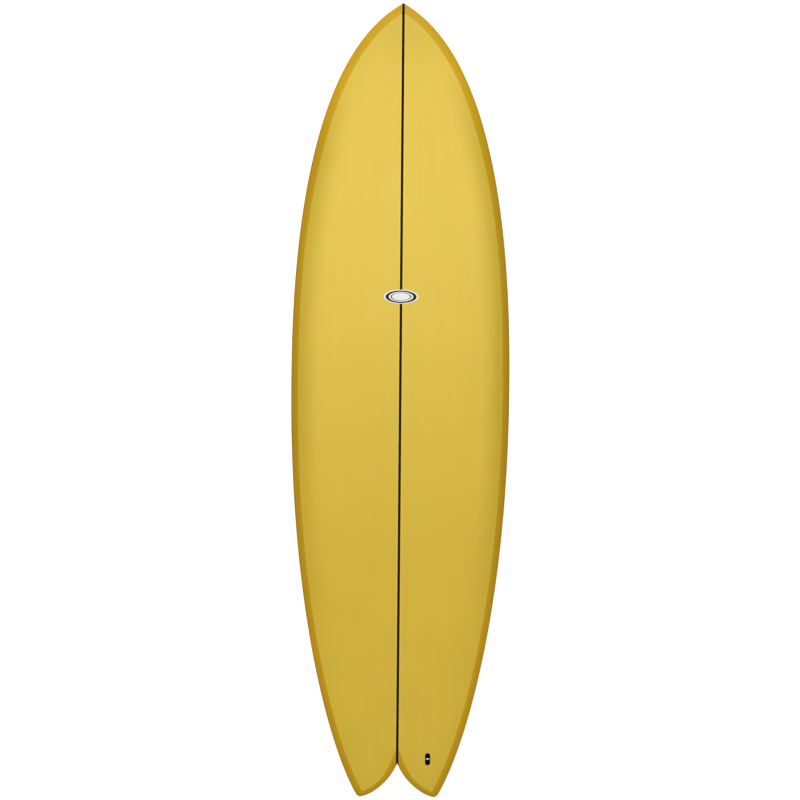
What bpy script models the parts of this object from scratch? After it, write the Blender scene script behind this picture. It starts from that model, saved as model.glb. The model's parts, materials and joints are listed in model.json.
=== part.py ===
"""A twin-fin surfboard with a pointed nose and a swallow tail.

The board lies deck up: +X is its right side, +Y points to the nose, +Z is up, and the origin is on the
floor under the middle of its length. A station is a distance behind the nose tip. The foam blank is
split by a wooden stringer, and two glass skins close it: one wraps the bottom and the rails and laps
onto the deck, the other covers the deck inside that lap.
"""

import math

import bmesh
import bpy
import numpy as np
from mathutils import Matrix, Vector

# ---- Board, in metres --------------------------------------------------------------------------
LENGTH = 1.9812                      # 6 ft 6 in, nose tip to the line across the tail tips
WIDTH = 0.5461                       # 21 1/2 in, at the wide point
THICKNESS = 0.070                    # 2 3/4 in, at the thickest station
WIDE_POINT = 0.957                   # stations
THICK_POINT = 0.880
NOSE_THICKNESS = 0.013
TAIL_THICKNESS = 0.014
NOSE_FOIL = 1.5                      # how late the thickness falls away towards each end
TAIL_FOIL = 0.85

# Each half of the outline is two cubic curves that meet at the wide point. The nose curve's first arm
# reaches as far out as the wide point. A handle is the length of a curve's control arm, and an angle is
# measured off the board's long axis.
NOSE_ANGLE = math.radians(61.7)
NOSE_SHOULDER = 0.1828
TAIL_SHOULDER = 0.5701
TAIL_HANDLE = 0.1205
TAIL_ANGLE = math.radians(32.2)
TAIL_SPAN = 0.1968                   # between the outer corners of the two tail tips
TAIL_TIP_WIDTH = 0.0124
NOTCH_DEPTH = 0.084
NOTCH_RADIUS = 0.155                 # of the arc along each side of the notch
TIP_ROUNDING = 0.007                 # over which the nose and the tail tips thin out
TIP_BLUNTNESS = 0.3                  # share of the size left at the very end

# Rocker: the bottom is flat lengthwise between two stations and rises towards both ends.
FLAT_FROM = 0.960
FLAT_TO = 1.150
NOSE_ROCKER = 0.115
NOSE_ROCKER_POWER = 2.3
TAIL_ROCKER = 0.040
TAIL_ROCKER_POWER = 2.1

# Cross-section: a flat bottom, a tucked rail and a domed deck.
RAIL_LINE = 0.42                     # height of the widest line, as a share of the thickness
DECK_DOME = 2.4                      # exponent of the deck's superellipse
RAIL_TUCK = 0.045                    # width of the tucked-under edge at the middle
TAIL_RAIL_TUCK = 0.018               # and at the tail, where the rail is harder
TUCK_EASES_FROM = 1.200              # stations between which the tuck narrows
TUCK_EASES_TO = 1.650

# ---- Build of the board ------------------------------------------------------------------------
GAP = 0.0003                         # between pieces that touch
SKIN = 0.0009                        # each glass skin
STRINGER = 0.0048                    # thickness of the wooden stringer
# The bottom skin's lap on the deck: (station, width), straight in between and held at both ends.
RAIL_LAP = ((0.0, 0.0205), (0.300, 0.0205), (0.600, 0.0168))
NOTCH_LAP = 0.0125

# ---- Fin system --------------------------------------------------------------------------------
FIN_FROM_TAIL = 0.242                # middle of the box, ahead of the tail line
FIN_FROM_RAIL = 0.040                # the box's rear end, in from the rail
FIN_TOE = math.radians(2.5)
FIN_CANT = math.radians(6)
FIN_BASE = 0.160
FIN_DEPTH = 0.130
FIN_SWEEP = 0.088                    # the tip, behind the middle of the base
FIN_THICKNESS = 0.0076
FIN_TIP_THICKNESS = 0.0026
FIN_EDGE = 0.0008
FIN_TIP_CHORD = 0.004
# Curve arms of the blade's two edges, each as shares of the depth and of half the base.
FIN_FRONT_ARMS = ((0.46, 0.62), (0.97, 0.05))
FIN_REAR_ARMS = ((0.30, -0.62), (0.70, -1.35))
FIN_FULLEST = 1 / 3                  # where the foil is thickest, from front to rear
BOX_LENGTH = 0.128
BOX_WIDTH = 0.024
BOX_DEPTH = 0.019
BOX_OFFSET = 0.0018                  # the box's middle, inboard of the fin's plane
TAB_SPACING = 0.076
TAB_LENGTH = 0.024
TAB_THICKNESS = 0.006
TAB_DEPTH = 0.013
SCREW_RADIUS = 0.0025
SCREW_LENGTH = 0.008
SCREW_SUNK = 0.0006                  # the screw's outer end, below the box's face
SCREW_TILT = math.radians(20)
SOCKET_FLATS = 0.0025                # across flats
SOCKET_DEPTH = 0.0025

# ---- Leash plug --------------------------------------------------------------------------------
LEASH_FROM_TAIL = 0.095
LEASH_FROM_CENTRE = 0.076
PLUG_LENGTH = 0.0305                 # the rim that shows in the deck
PLUG_WIDTH = 0.013
PLUG_RIM = 0.0019                    # wall round the mouth
PLUG_FLANGE = 0.0022                 # how far the buried body stands out past the rim
PLUG_DEPTH = 0.0165
PLUG_FLOOR = 0.0018
PIN_RADIUS = 0.002
PIN_BELOW_DECK = 0.006
PIN_SEAT = 0.0026                    # how deep each end sits in the wall

# ---- Decal -------------------------------------------------------------------------------------
DECAL_FROM_NOSE = 0.731
DECAL_LENGTH = 0.035                 # along the board
DECAL_WIDTH = 0.087
DECAL_PAPER = 0.0002

# ---- Mesh fineness -----------------------------------------------------------------------------
CURVE_SAMPLES = 400
NOSE_STEPS = 12
FLAT_STEPS = 2
TAIL_STEPS = 8
LOBE_STEPS = 7
NOSE_EASE = 1.8                      # above 1, sections lie closer together towards the nose
TIP_EASE = 0.8                       # below 1, towards the tail tips
FLAT_COLUMNS = 3
TUCK_COLUMNS = 3
DECK_COLUMNS = 8
ROUND_STEPS = 8                      # segments in a half circle
FIN_ROWS = 12
FOIL_STEPS = 7
MERGE = 0.00001
CLEAR = 0.05                         # how far a cutter runs past what it cuts


# ---- Outline -----------------------------------------------------------------------------------
def bezier(p0, p1, p2, p3):
    """Points along a cubic curve."""
    t = np.linspace(0, 1, CURVE_SAMPLES)[:, None]
    p0, p1, p2, p3 = (np.array(p) for p in (p0, p1, p2, p3))
    return (1 - t) ** 3 * p0 + 3 * t * (1 - t) ** 2 * p1 + 3 * t**2 * (1 - t) * p2 + t**3 * p3


def outer_outline():
    """(station, half width) along one side, from the nose to the outer corner of the tail tip."""
    nose = bezier(
        (0, 0),
        (WIDTH / 2 / math.tan(NOSE_ANGLE), WIDTH / 2),
        (WIDE_POINT - NOSE_SHOULDER, WIDTH / 2),
        (WIDE_POINT, WIDTH / 2),
    )
    tail = bezier(
        (WIDE_POINT, WIDTH / 2),
        (WIDE_POINT + TAIL_SHOULDER, WIDTH / 2),
        (
            LENGTH - TAIL_HANDLE * math.cos(TAIL_ANGLE),
            TAIL_SPAN / 2 + TAIL_HANDLE * math.sin(TAIL_ANGLE),
        ),
        (LENGTH, TAIL_SPAN / 2),
    )
    return np.vstack([nose, tail[1:]])


def notch_outline():
    """(station, half width) along one side of the notch, from its apex to the tail tip: an arc that
    bulges into the open space."""
    apex = np.array((LENGTH - NOTCH_DEPTH, 0.0))
    corner = np.array((LENGTH, TAIL_SPAN / 2 - TAIL_TIP_WIDTH))
    chord = corner - apex
    half_chord = np.linalg.norm(chord) / 2
    along = chord / (2 * half_chord)
    into_board = np.array((-along[1], along[0]))
    centre = (apex + corner) / 2 + into_board * math.sqrt(NOTCH_RADIUS**2 - half_chord**2)
    half_turn = math.asin(half_chord / NOTCH_RADIUS)
    turns = np.linspace(-half_turn, half_turn, CURVE_SAMPLES)[:, None]
    return centre + NOTCH_RADIUS * (np.sin(turns) * along - np.cos(turns) * into_board)


OUTER = outer_outline()
NOTCH = notch_outline()
APEX = LENGTH - NOTCH_DEPTH
TIP_CENTRE = (TAIL_SPAN - TAIL_TIP_WIDTH) / 2


def fullness(station):
    """1 over the board's length, falling in a quarter circle over the last few millimetres."""
    from_end = min(station, LENGTH - station) / TIP_ROUNDING
    if from_end >= 1:
        return 1.0
    return max(TIP_BLUNTNESS, math.sqrt(1 - (1 - from_end) ** 2))


def half_width(station):
    """The rail's distance from the middle line."""
    if station > LENGTH - TIP_ROUNDING:
        edge = float(np.interp(station, *OUTER.T))
        return TIP_CENTRE + (edge - TIP_CENTRE) * fullness(station)
    least = NOSE_THICKNESS / 2 * TIP_BLUNTNESS
    return max(least, float(np.interp(station, *OUTER.T)))


def notch_width(station):
    """The notch side's distance from the middle line, and 0 ahead of the notch."""
    if station <= APEX:
        return 0.0
    edge = float(np.interp(station, *NOTCH.T))
    if station > LENGTH - TIP_ROUNDING:
        return TIP_CENTRE + (edge - TIP_CENTRE) * fullness(station)
    return edge


# ---- Rocker, foil and cross-section ------------------------------------------------------------
def rocker(station):
    """Height of the bottom above its flat stretch."""
    if station < FLAT_FROM:
        return NOSE_ROCKER * ((FLAT_FROM - station) / FLAT_FROM) ** NOSE_ROCKER_POWER
    if station > FLAT_TO:
        return TAIL_ROCKER * ((station - FLAT_TO) / (LENGTH - FLAT_TO)) ** TAIL_ROCKER_POWER
    return 0.0


def thickness(station):
    """Thickness at the middle of the board's width."""
    if station < THICK_POINT:
        least, power, from_thickest = NOSE_THICKNESS, NOSE_FOIL, 1 - station / THICK_POINT
    else:
        from_thickest = (station - THICK_POINT) / (LENGTH - THICK_POINT)
        least, power = TAIL_THICKNESS, TAIL_FOIL
    return least + (THICKNESS - least) * (1 - from_thickest**2) ** power


def rail_tuck(station):
    """Width of the tucked-under edge, never more than the local half width."""
    eased = min(1, max(0, (station - TUCK_EASES_FROM) / (TUCK_EASES_TO - TUCK_EASES_FROM)))
    width = RAIL_TUCK + (TAIL_RAIL_TUCK - RAIL_TUCK) * eased
    return min(width, half_width(station) - notch_width(station))


def deck_height(station, x):
    """Height of the deck above the flat bottom."""
    share = min(1, abs(x) / half_width(station))
    full = thickness(station)
    dome = (1 - share**DECK_DOME) ** (1 / DECK_DOME)
    return rocker(station) + middle_out(station, full * (RAIL_LINE + (1 - RAIL_LINE) * dome))


def bottom_height(station, x):
    """Height of the bottom above its flat stretch."""
    tuck = rail_tuck(station)
    share = max(0, (abs(x) - (half_width(station) - tuck)) / tuck)
    tucked = thickness(station) * RAIL_LINE * (1 - math.sqrt(max(0, 1 - share**2)))
    return rocker(station) + middle_out(station, tucked)


def middle_out(station, height):
    """A height in the section, drawn in to the rail line where the board's end thins out."""
    rail_line = thickness(station) * RAIL_LINE
    return rail_line + (height - rail_line) * fullness(station)


def y_of(station):
    return LENGTH / 2 - station


# ---- Fins' places and profile, and the board's height off the floor ----------------------------
FIN_STATION = LENGTH - FIN_FROM_TAIL
FIN_SLOPE = math.atan2(
    rocker(FIN_STATION + GAP) - rocker(FIN_STATION - GAP), 2 * GAP
)                                    # the bottom rises towards the tail
FIN_X = half_width(FIN_STATION + BOX_LENGTH / 2) - FIN_FROM_RAIL


def fin_axes(side):
    """The fin box's turn: local +Y runs along the box to the nose, +Z points into the board."""
    slope = Matrix.Rotation(-FIN_SLOPE, 3, "X")
    return slope @ Matrix.Rotation(side * FIN_TOE, 3, "Z")


def fin_edge(base, arms, depth):
    """Where one edge of the blade is, along the fin, at a depth below its base."""
    points = [(0, base)]
    points += [(down * FIN_DEPTH, along * FIN_BASE / 2) for down, along in arms]
    points.append((FIN_DEPTH, -FIN_SWEEP))
    return float(np.interp(depth, *bezier(*points).T))


def foil_ring(depth, side):
    """One section of the blade: flat inside, rounded outside, fullest a third of the way back."""
    front = fin_edge(FIN_BASE / 2, FIN_FRONT_ARMS, depth)
    rear = fin_edge(-FIN_BASE / 2, FIN_REAR_ARMS, depth)
    if front - rear < FIN_TIP_CHORD:
        middle = (front + rear) / 2
        front, rear = middle + FIN_TIP_CHORD / 2, middle - FIN_TIP_CHORD / 2
    full = FIN_THICKNESS + (FIN_TIP_THICKNESS - FIN_THICKNESS) * depth / FIN_DEPTH
    inside = depth * math.tan(FIN_CANT) - TAB_THICKNESS / 2 - GAP
    z = -GAP - depth
    outer_face, inner_face = [], []
    for i in range(FOIL_STEPS + 1):
        back = (1 - math.cos(math.pi * i / FOIL_STEPS)) / 2
        y = front + (rear - front) * back
        bulge = math.sqrt(back) * (1 - back) / (math.sqrt(FIN_FULLEST) * (1 - FIN_FULLEST))
        outer_face.append((side * (inside + FIN_EDGE + (full - FIN_EDGE) * bulge), y, z))
        inner_face.append((side * inside, y, z))
    return outer_face + inner_face[::-1]


def floor_height():
    """Height of the flat bottom when the fins' tips are on the floor."""
    heights = [(fin_axes(1) @ Vector(point)).z for point in foil_ring(FIN_DEPTH, 1)]
    return -min(heights) - rocker(FIN_STATION)


BOTTOM = floor_height()


# ---- Scene and mesh helpers --------------------------------------------------------------------
def clear_scene():
    for obj in list(bpy.data.objects):
        bpy.data.objects.remove(obj, do_unlink=True)


def collection(name):
    made = bpy.data.collections.new(name)
    bpy.context.scene.collection.children.link(made)
    return made


def material(name, colour, roughness, metallic=0.0):
    """A plain Principled material."""
    made = bpy.data.materials.new(name)
    made.use_nodes = True
    shader = made.node_tree.nodes["Principled BSDF"]
    shader.inputs["Base Color"].default_value = (*colour, 1)
    shader.inputs["Roughness"].default_value = roughness
    shader.inputs["Metallic"].default_value = metallic
    made.diffuse_color = (*colour, 1)
    return made


def add_part(name, mesh, finish, parent=None):
    """An object that becomes a piece of the board."""
    obj = bpy.data.objects.new(name, mesh)
    PARTS.objects.link(obj)
    mesh.materials.clear()
    mesh.materials.append(finish)
    obj.parent = parent
    return obj


def add_cutter(name, mesh, parent=None):
    obj = bpy.data.objects.new(name, mesh)
    CUTTERS.objects.link(obj)
    obj.hide_render = True
    obj.display_type = "WIRE"
    obj.parent = parent
    return obj


def add_empty(name, location, axes):
    empty = bpy.data.objects.new(name, None)
    CUTTERS.objects.link(empty)
    empty.location = location
    empty.rotation_euler = axes.to_euler()
    return empty


def boolean(target, cutter, operation):
    """Adds one Boolean step to target's modifiers."""
    step = target.modifiers.new(cutter.name, "BOOLEAN")
    step.operation = operation
    step.object = cutter
    step.solver = "EXACT"


def finished_mesh(name, bm):
    """A mesh from bm with its faces pointing out."""
    bmesh.ops.remove_doubles(bm, verts=bm.verts[:], dist=MERGE)
    bmesh.ops.recalc_face_normals(bm, faces=bm.faces[:])
    mesh = bpy.data.meshes.new(name)
    bm.to_mesh(mesh)
    bm.free()
    return mesh


def evaluated_mesh(obj):
    """The object's mesh after its modifiers, as a new mesh."""
    graph = bpy.context.evaluated_depsgraph_get()
    return bpy.data.meshes.new_from_object(obj.evaluated_get(graph), depsgraph=graph)


def box_mesh(name, low, high):
    bm = bmesh.new()
    bmesh.ops.create_cube(bm, size=1)
    low, high = Vector(low), Vector(high)
    bmesh.ops.scale(bm, vec=high - low, verts=bm.verts[:])
    bmesh.ops.translate(bm, vec=(low + high) / 2, verts=bm.verts[:])
    return finished_mesh(name, bm)


def rod_mesh(name, radius, length, sides):
    """A cylinder along Z, centred on its own middle."""
    bm = bmesh.new()
    bmesh.ops.create_cone(
        bm, cap_ends=True, segments=sides, radius1=radius, radius2=radius, depth=length
    )
    return finished_mesh(name, bm)


def stadium(length, width):
    """Outline with straight sides along Y and half-round ends."""
    radius, straight = width / 2, (length - width) / 2
    points = []
    for end in (1, -1):
        for step in range(ROUND_STEPS + 1):
            turn = math.pi * step / ROUND_STEPS
            points.append(
                (end * radius * math.cos(turn), end * (straight + radius * math.sin(turn)))
            )
    return points


def oval(length, width):
    turns = [math.tau * step / (4 * ROUND_STEPS) for step in range(4 * ROUND_STEPS)]
    return [(width / 2 * math.cos(turn), length / 2 * math.sin(turn)) for turn in turns]


def prism_mesh(name, outline, low, high):
    """A flat outline given depth from low to high along Z."""
    curve = bpy.data.curves.new(name, "CURVE")
    curve.dimensions = "2D"
    curve.fill_mode = "BOTH"
    curve.extrude = (high - low) / 2
    spline = curve.splines.new("POLY")
    spline.points.add(len(outline) - 1)
    for point, (x, y) in zip(spline.points, outline):
        point.co = (x, y, 0, 1)
    spline.use_cyclic_u = True
    drawn = bpy.data.objects.new(name, curve)
    CUTTERS.objects.link(drawn)
    bm = bmesh.new()
    flat = evaluated_mesh(drawn)
    bm.from_mesh(flat)
    bpy.data.meshes.remove(flat)
    bpy.data.objects.remove(drawn, do_unlink=True)
    bmesh.ops.translate(bm, vec=(0, 0, (low + high) / 2), verts=bm.verts[:])
    return finished_mesh(name, bm)


# ---- The board's outer shape -------------------------------------------------------------------
def eased_stations(start, end, steps, power):
    """Stations from start up to end, closer together near start above power 1, near end below it."""
    return [start + (end - start) * (i / steps) ** power for i in range(steps)]


def board_stations():
    return [
        *eased_stations(0, FLAT_FROM, NOSE_STEPS, NOSE_EASE),
        *eased_stations(FLAT_FROM, FLAT_TO, FLAT_STEPS, 1),
        *eased_stations(FLAT_TO, APEX, TAIL_STEPS, 1),
        *eased_stations(APEX, LENGTH - TIP_ROUNDING, LOBE_STEPS, TIP_EASE),
        LENGTH - TIP_ROUNDING,
        LENGTH - TIP_ROUNDING / 4,
        LENGTH,
    ]


def section_ring(station):
    """Points of the right half's section: along the bottom from the inner edge to the rail, and back
    over the deck to the inner edge."""
    inner, outer = notch_width(station), half_width(station)
    tuck = rail_tuck(station)
    flat_end = outer - tuck
    bottom = [inner + (flat_end - inner) * i / FLAT_COLUMNS for i in range(FLAT_COLUMNS)]
    for i in range(TUCK_COLUMNS):
        bottom.append(flat_end + tuck * math.sin(math.pi / 2 * i / TUCK_COLUMNS))
    deck = []
    for i in range(DECK_COLUMNS + 1):
        across = math.cos(math.pi / 2 * i / DECK_COLUMNS) ** (2 / DECK_DOME)
        deck.append(inner + (outer - inner) * across)
    y = y_of(station)
    ring = [(x, y, BOTTOM + bottom_height(station, x)) for x in bottom]
    return ring + [(x, y, BOTTOM + deck_height(station, x)) for x in deck]


def half_loft(name, rings, closed_from):
    """The right half of a solid through rings of points. Up to ring closed_from the half is open at the
    middle plane, and beyond it each ring closes round one tail lobe. The faces are triangles, so that
    surfaces made from it at different depths fold along the same lines."""
    bm = bmesh.new()
    rows = [[bm.verts.new(point) for point in ring] for ring in rings]
    count = len(rows[0])
    for index, (row, following) in enumerate(zip(rows, rows[1:])):
        last = count if index >= closed_from else count - 1
        for i in range(last):
            j = (i + 1) % count
            bm.faces.new((row[i], row[j], following[j], following[i]))
    bm.faces.new(rows[0])
    bm.faces.new(rows[-1])
    bmesh.ops.triangulate(bm, faces=bm.faces[:])
    return finished_mesh(name, bm)


def mirrored(obj):
    step = obj.modifiers.new("Other half", "MIRROR")
    step.use_axis = (True, False, False)
    step.merge_threshold = MERGE


def offset_skin(obj, distance):
    """Adds a Solidify step that grows obj's surface by distance, inwards where it is negative."""
    step = obj.modifiers.new("Skin", "SOLIDIFY")
    step.thickness = abs(distance)
    step.offset = math.copysign(1, distance)
    step.use_even_offset = True


def board_half():
    stations = board_stations()
    rings = [section_ring(station) for station in stations]
    return half_loft("board_half", rings, NOSE_STEPS + FLAT_STEPS + TAIL_STEPS)


def offset_board(name, distance):
    """The whole board's outer shape as a solid, moved in or out by distance."""
    whole = add_cutter(name, board_half())
    mirrored(whole)
    shell_points = len(evaluated_mesh(whole).vertices)
    offset_skin(whole, distance)
    bm = bmesh.new()
    bm.from_mesh(evaluated_mesh(whole))
    outer_shell, inner_shell = bm.verts[:shell_points], bm.verts[shell_points:]
    unmoved = outer_shell if distance < 0 else inner_shell
    bmesh.ops.delete(bm, geom=unmoved, context="VERTS")
    bpy.data.objects.remove(whole, do_unlink=True)
    return finished_mesh(name, bm)


# ---- Lap line ----------------------------------------------------------------------------------
def moved_in(outline, distances):
    """The outline moved to its left by the given distances, point by point."""
    along = np.gradient(outline, axis=0)
    along /= np.linalg.norm(along, axis=1)[:, None]
    to_left = np.column_stack([-along[:, 1], along[:, 0]])
    return outline + to_left * np.asarray(distances)[:, None]


def lap_lines(spare):
    """Outer and notch-side edges of the deck skin's window as (station, x), spare wider than the deck
    skin itself."""
    outer = moved_in(OUTER, spare - np.interp(OUTER[:, 0], *zip(*RAIL_LAP)))
    notch = moved_in(NOTCH, np.full(len(NOTCH), NOTCH_LAP - spare))
    start = notch[0]
    heading = notch[1] - notch[0]
    meets_middle = start - heading * start[1] / heading[1]
    return outer, np.vstack([meets_middle, notch])


def lap_rings(spare):
    """Sections of the deck window: from mid-thickness up past the deck."""
    outer, notch = lap_lines(spare)
    split = notch[0, 0]
    first = float(np.interp(0, outer[:CURVE_SAMPLES, 1], outer[:CURVE_SAMPLES, 0]))
    fine = np.linspace(split, LENGTH, CURVE_SAMPLES)
    gap_left = np.interp(fine, *outer.T) - np.interp(fine, *notch.T)
    last = float(np.interp(0, -gap_left, fine))
    stations = [
        *eased_stations(first, FLAT_FROM, 2 * NOSE_STEPS, NOSE_EASE),
        *eased_stations(FLAT_FROM, split, 2 * TAIL_STEPS, 1),
        *eased_stations(split, last, 2 * LOBE_STEPS, TIP_EASE),
        last,
    ]
    rings = []
    for station in stations:
        right = max(MERGE * 2, float(np.interp(station, *outer.T)))
        left = float(np.interp(station, *notch.T)) if station > split else 0.0
        low = BOTTOM + rocker(station) + thickness(station) / 2
        high = BOTTOM + rocker(station) + thickness(station) + CLEAR
        y = y_of(station)
        right = max(right, left + MERGE * 2)
        rings.append([(left, y, low), (right, y, low), (right, y, high), (left, y, high)])
    return rings, 2 * (NOSE_STEPS + TAIL_STEPS)


def lap_window(name, spare):
    """A solid that covers the deck inside the lap line."""
    rings, closed_from = lap_rings(spare)
    window = add_cutter(name, half_loft(name, rings, closed_from))
    mirrored(window)
    return window


# ---- Board pieces ------------------------------------------------------------------------------
def side_name(side):
    return "right" if side > 0 else "left"


def make_blank():
    """The two foam halves and the stringer glued between them."""
    core = offset_board("core", -(SKIN + GAP))
    halves = []
    reach = WIDTH
    for side in (-1, 1):
        half = add_part(f"foam_core_{side_name(side)}", core.copy(), FOAM)
        face = side * (STRINGER / 2 + GAP)
        edges = sorted((face, side * reach))
        keep = add_cutter(
            f"half_space_{side_name(side)}",
            box_mesh("half space", (edges[0], -LENGTH, -reach), (edges[1], LENGTH, reach)),
        )
        boolean(half, keep, "INTERSECT")
        halves.append(half)
    stringer = add_part("stringer", core.copy(), WOOD)
    plank = box_mesh("plank", (-STRINGER / 2, -LENGTH, -reach), (STRINGER / 2, LENGTH, reach))
    boolean(stringer, add_cutter("stringer_plank", plank), "INTERSECT")
    return halves


def make_skins():
    """The bottom skin with its lap, and the deck skin inside it."""
    skins = []
    for name, operation, spare in (
        ("bottom_laminate", "DIFFERENCE", GAP),
        ("deck_laminate", "INTERSECT", 0.0),
    ):
        skin = add_part(name, board_half(), GLASS)
        mirrored(skin)
        offset_skin(skin, -SKIN)
        boolean(skin, lap_window(f"{name}_lap", spare), operation)
        skins.append(skin)
    return skins


def make_decal():
    """A plain oval of paper on the deck, following its curve."""
    station = DECAL_FROM_NOSE
    low = BOTTOM + rocker(station) + thickness(station) / 2
    column = prism_mesh("deck_decal", oval(DECAL_LENGTH, DECAL_WIDTH), low, low + thickness(station))
    decal = add_part("deck_decal", column, PAPER)
    decal.location = (0, y_of(station), 0)
    top = add_cutter("decal_top", offset_board("decal top", GAP + DECAL_PAPER))
    under = add_cutter("decal_under", offset_board("decal under", GAP))
    boolean(decal, top, "INTERSECT")
    boolean(decal, under, "DIFFERENCE")


# ---- Leash plug --------------------------------------------------------------------------------
def leash_frame():
    """An empty on the deck, with +Z out of the deck and +Y towards the nose."""
    station, x = LENGTH - LEASH_FROM_TAIL, LEASH_FROM_CENTRE
    step = PLUG_WIDTH / 2
    rise_across = (deck_height(station, x + step) - deck_height(station, x - step)) / (2 * step)
    rise_ahead = (deck_height(station - step, x) - deck_height(station + step, x)) / (2 * step)
    across = Vector((1, 0, rise_across)).normalized()
    out = across.cross(Vector((0, 1, rise_ahead))).normalized()
    axes = Matrix((across, out.cross(across), out)).transposed()
    height = BOTTOM + deck_height(station, x)
    return add_empty("leash_frame", (x, y_of(station), height), axes)


def make_leash_plug(deck_skin, foam):
    frame = leash_frame()
    shoulder = -(SKIN + 2 * GAP)
    body_length = PLUG_LENGTH + 2 * PLUG_FLANGE
    body_width = PLUG_WIDTH + 2 * PLUG_FLANGE

    body = prism_mesh("leash_cup", stadium(body_length, body_width), -PLUG_DEPTH, shoulder)
    cup = add_part("leash_cup", body, BLACK_PLASTIC, frame)
    neck = prism_mesh("neck", stadium(PLUG_LENGTH, PLUG_WIDTH), shoulder - GAP, 0)
    boolean(cup, add_cutter("leash_neck", neck, frame), "UNION")
    mouth_length, mouth_width = PLUG_LENGTH - 2 * PLUG_RIM, PLUG_WIDTH - 2 * PLUG_RIM
    floor = -PLUG_DEPTH + PLUG_FLOOR
    mouth = prism_mesh("mouth", stadium(mouth_length, mouth_width), floor, CLEAR)
    boolean(cup, add_cutter("leash_mouth", mouth, frame), "DIFFERENCE")

    pin_length = mouth_width + 2 * PIN_SEAT
    sideways = Matrix.Rotation(math.pi / 2, 3, "Y").to_euler()
    bore_mesh = rod_mesh("bore", PIN_RADIUS + GAP, pin_length + 2 * GAP, 2 * ROUND_STEPS)
    bore = add_cutter("leash_bore", bore_mesh, frame)
    pin = add_part("leash_pin", rod_mesh("pin", PIN_RADIUS, pin_length, 2 * ROUND_STEPS), STEEL, frame)
    for rod in (bore, pin):
        rod.location = (0, 0, -PIN_BELOW_DECK)
        rod.rotation_euler = sideways
    boolean(cup, bore, "DIFFERENCE")

    window = prism_mesh("window", stadium(PLUG_LENGTH + 2 * GAP, PLUG_WIDTH + 2 * GAP), shoulder, CLEAR)
    boolean(deck_skin, add_cutter("leash_window", window, frame), "DIFFERENCE")
    pocket_outline = stadium(body_length + 2 * GAP, body_width + 2 * GAP)
    pocket = prism_mesh("pocket", pocket_outline, -PLUG_DEPTH - GAP, CLEAR)
    boolean(foam, add_cutter("leash_pocket", pocket, frame), "DIFFERENCE")


# ---- Fins --------------------------------------------------------------------------------------
def fin_frame(side):
    """An empty on the bottom at the fin's plane: +Y along the fin to the nose, +Z into the board."""
    height = BOTTOM + rocker(FIN_STATION)
    location = (side * FIN_X, y_of(FIN_STATION), height)
    return add_empty(f"fin_frame_{side_name(side)}", location, fin_axes(side))


def blade_mesh(side):
    bm = bmesh.new()
    depths = [FIN_DEPTH * math.sin(math.pi / 2 * i / FIN_ROWS) for i in range(FIN_ROWS + 1)]
    rows = [[bm.verts.new(point) for point in foil_ring(depth, side)] for depth in depths]
    count = len(rows[0])
    for row, following in zip(rows, rows[1:]):
        for i in range(count):
            j = (i + 1) % count
            bm.faces.new((row[i], row[j], following[j], following[i]))
    bm.faces.new(rows[0])
    bm.faces.new(rows[-1])
    return finished_mesh("fin blade", bm)


def screw_frame(side, place, frame):
    """Where a screw's axis runs: from its outer end, +Z goes down the screw towards the tab."""
    axes = Matrix.Rotation(side * SCREW_TILT, 3, "Y")
    tip_inboard = TAB_THICKNESS / 2 + GAP + SCREW_RADIUS * math.cos(SCREW_TILT)
    head_inboard = tip_inboard + SCREW_LENGTH * math.sin(SCREW_TILT)
    head = add_empty(f"{place}_axis", (-side * head_inboard, 0, SCREW_SUNK), axes)
    head.parent = frame
    return head


def make_screw(name, axis):
    """A grub screw with a hexagon socket in its outer end."""
    screw = add_part(name, rod_mesh(name, SCREW_RADIUS, SCREW_LENGTH, 2 * ROUND_STEPS), STEEL, axis)
    screw.location = (0, 0, SCREW_LENGTH / 2)
    across_corners = SOCKET_FLATS / math.sqrt(3)
    socket = add_cutter(f"{name}_socket", rod_mesh("socket", across_corners, 2 * SOCKET_DEPTH, 6), axis)
    boolean(screw, socket, "DIFFERENCE")


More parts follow.
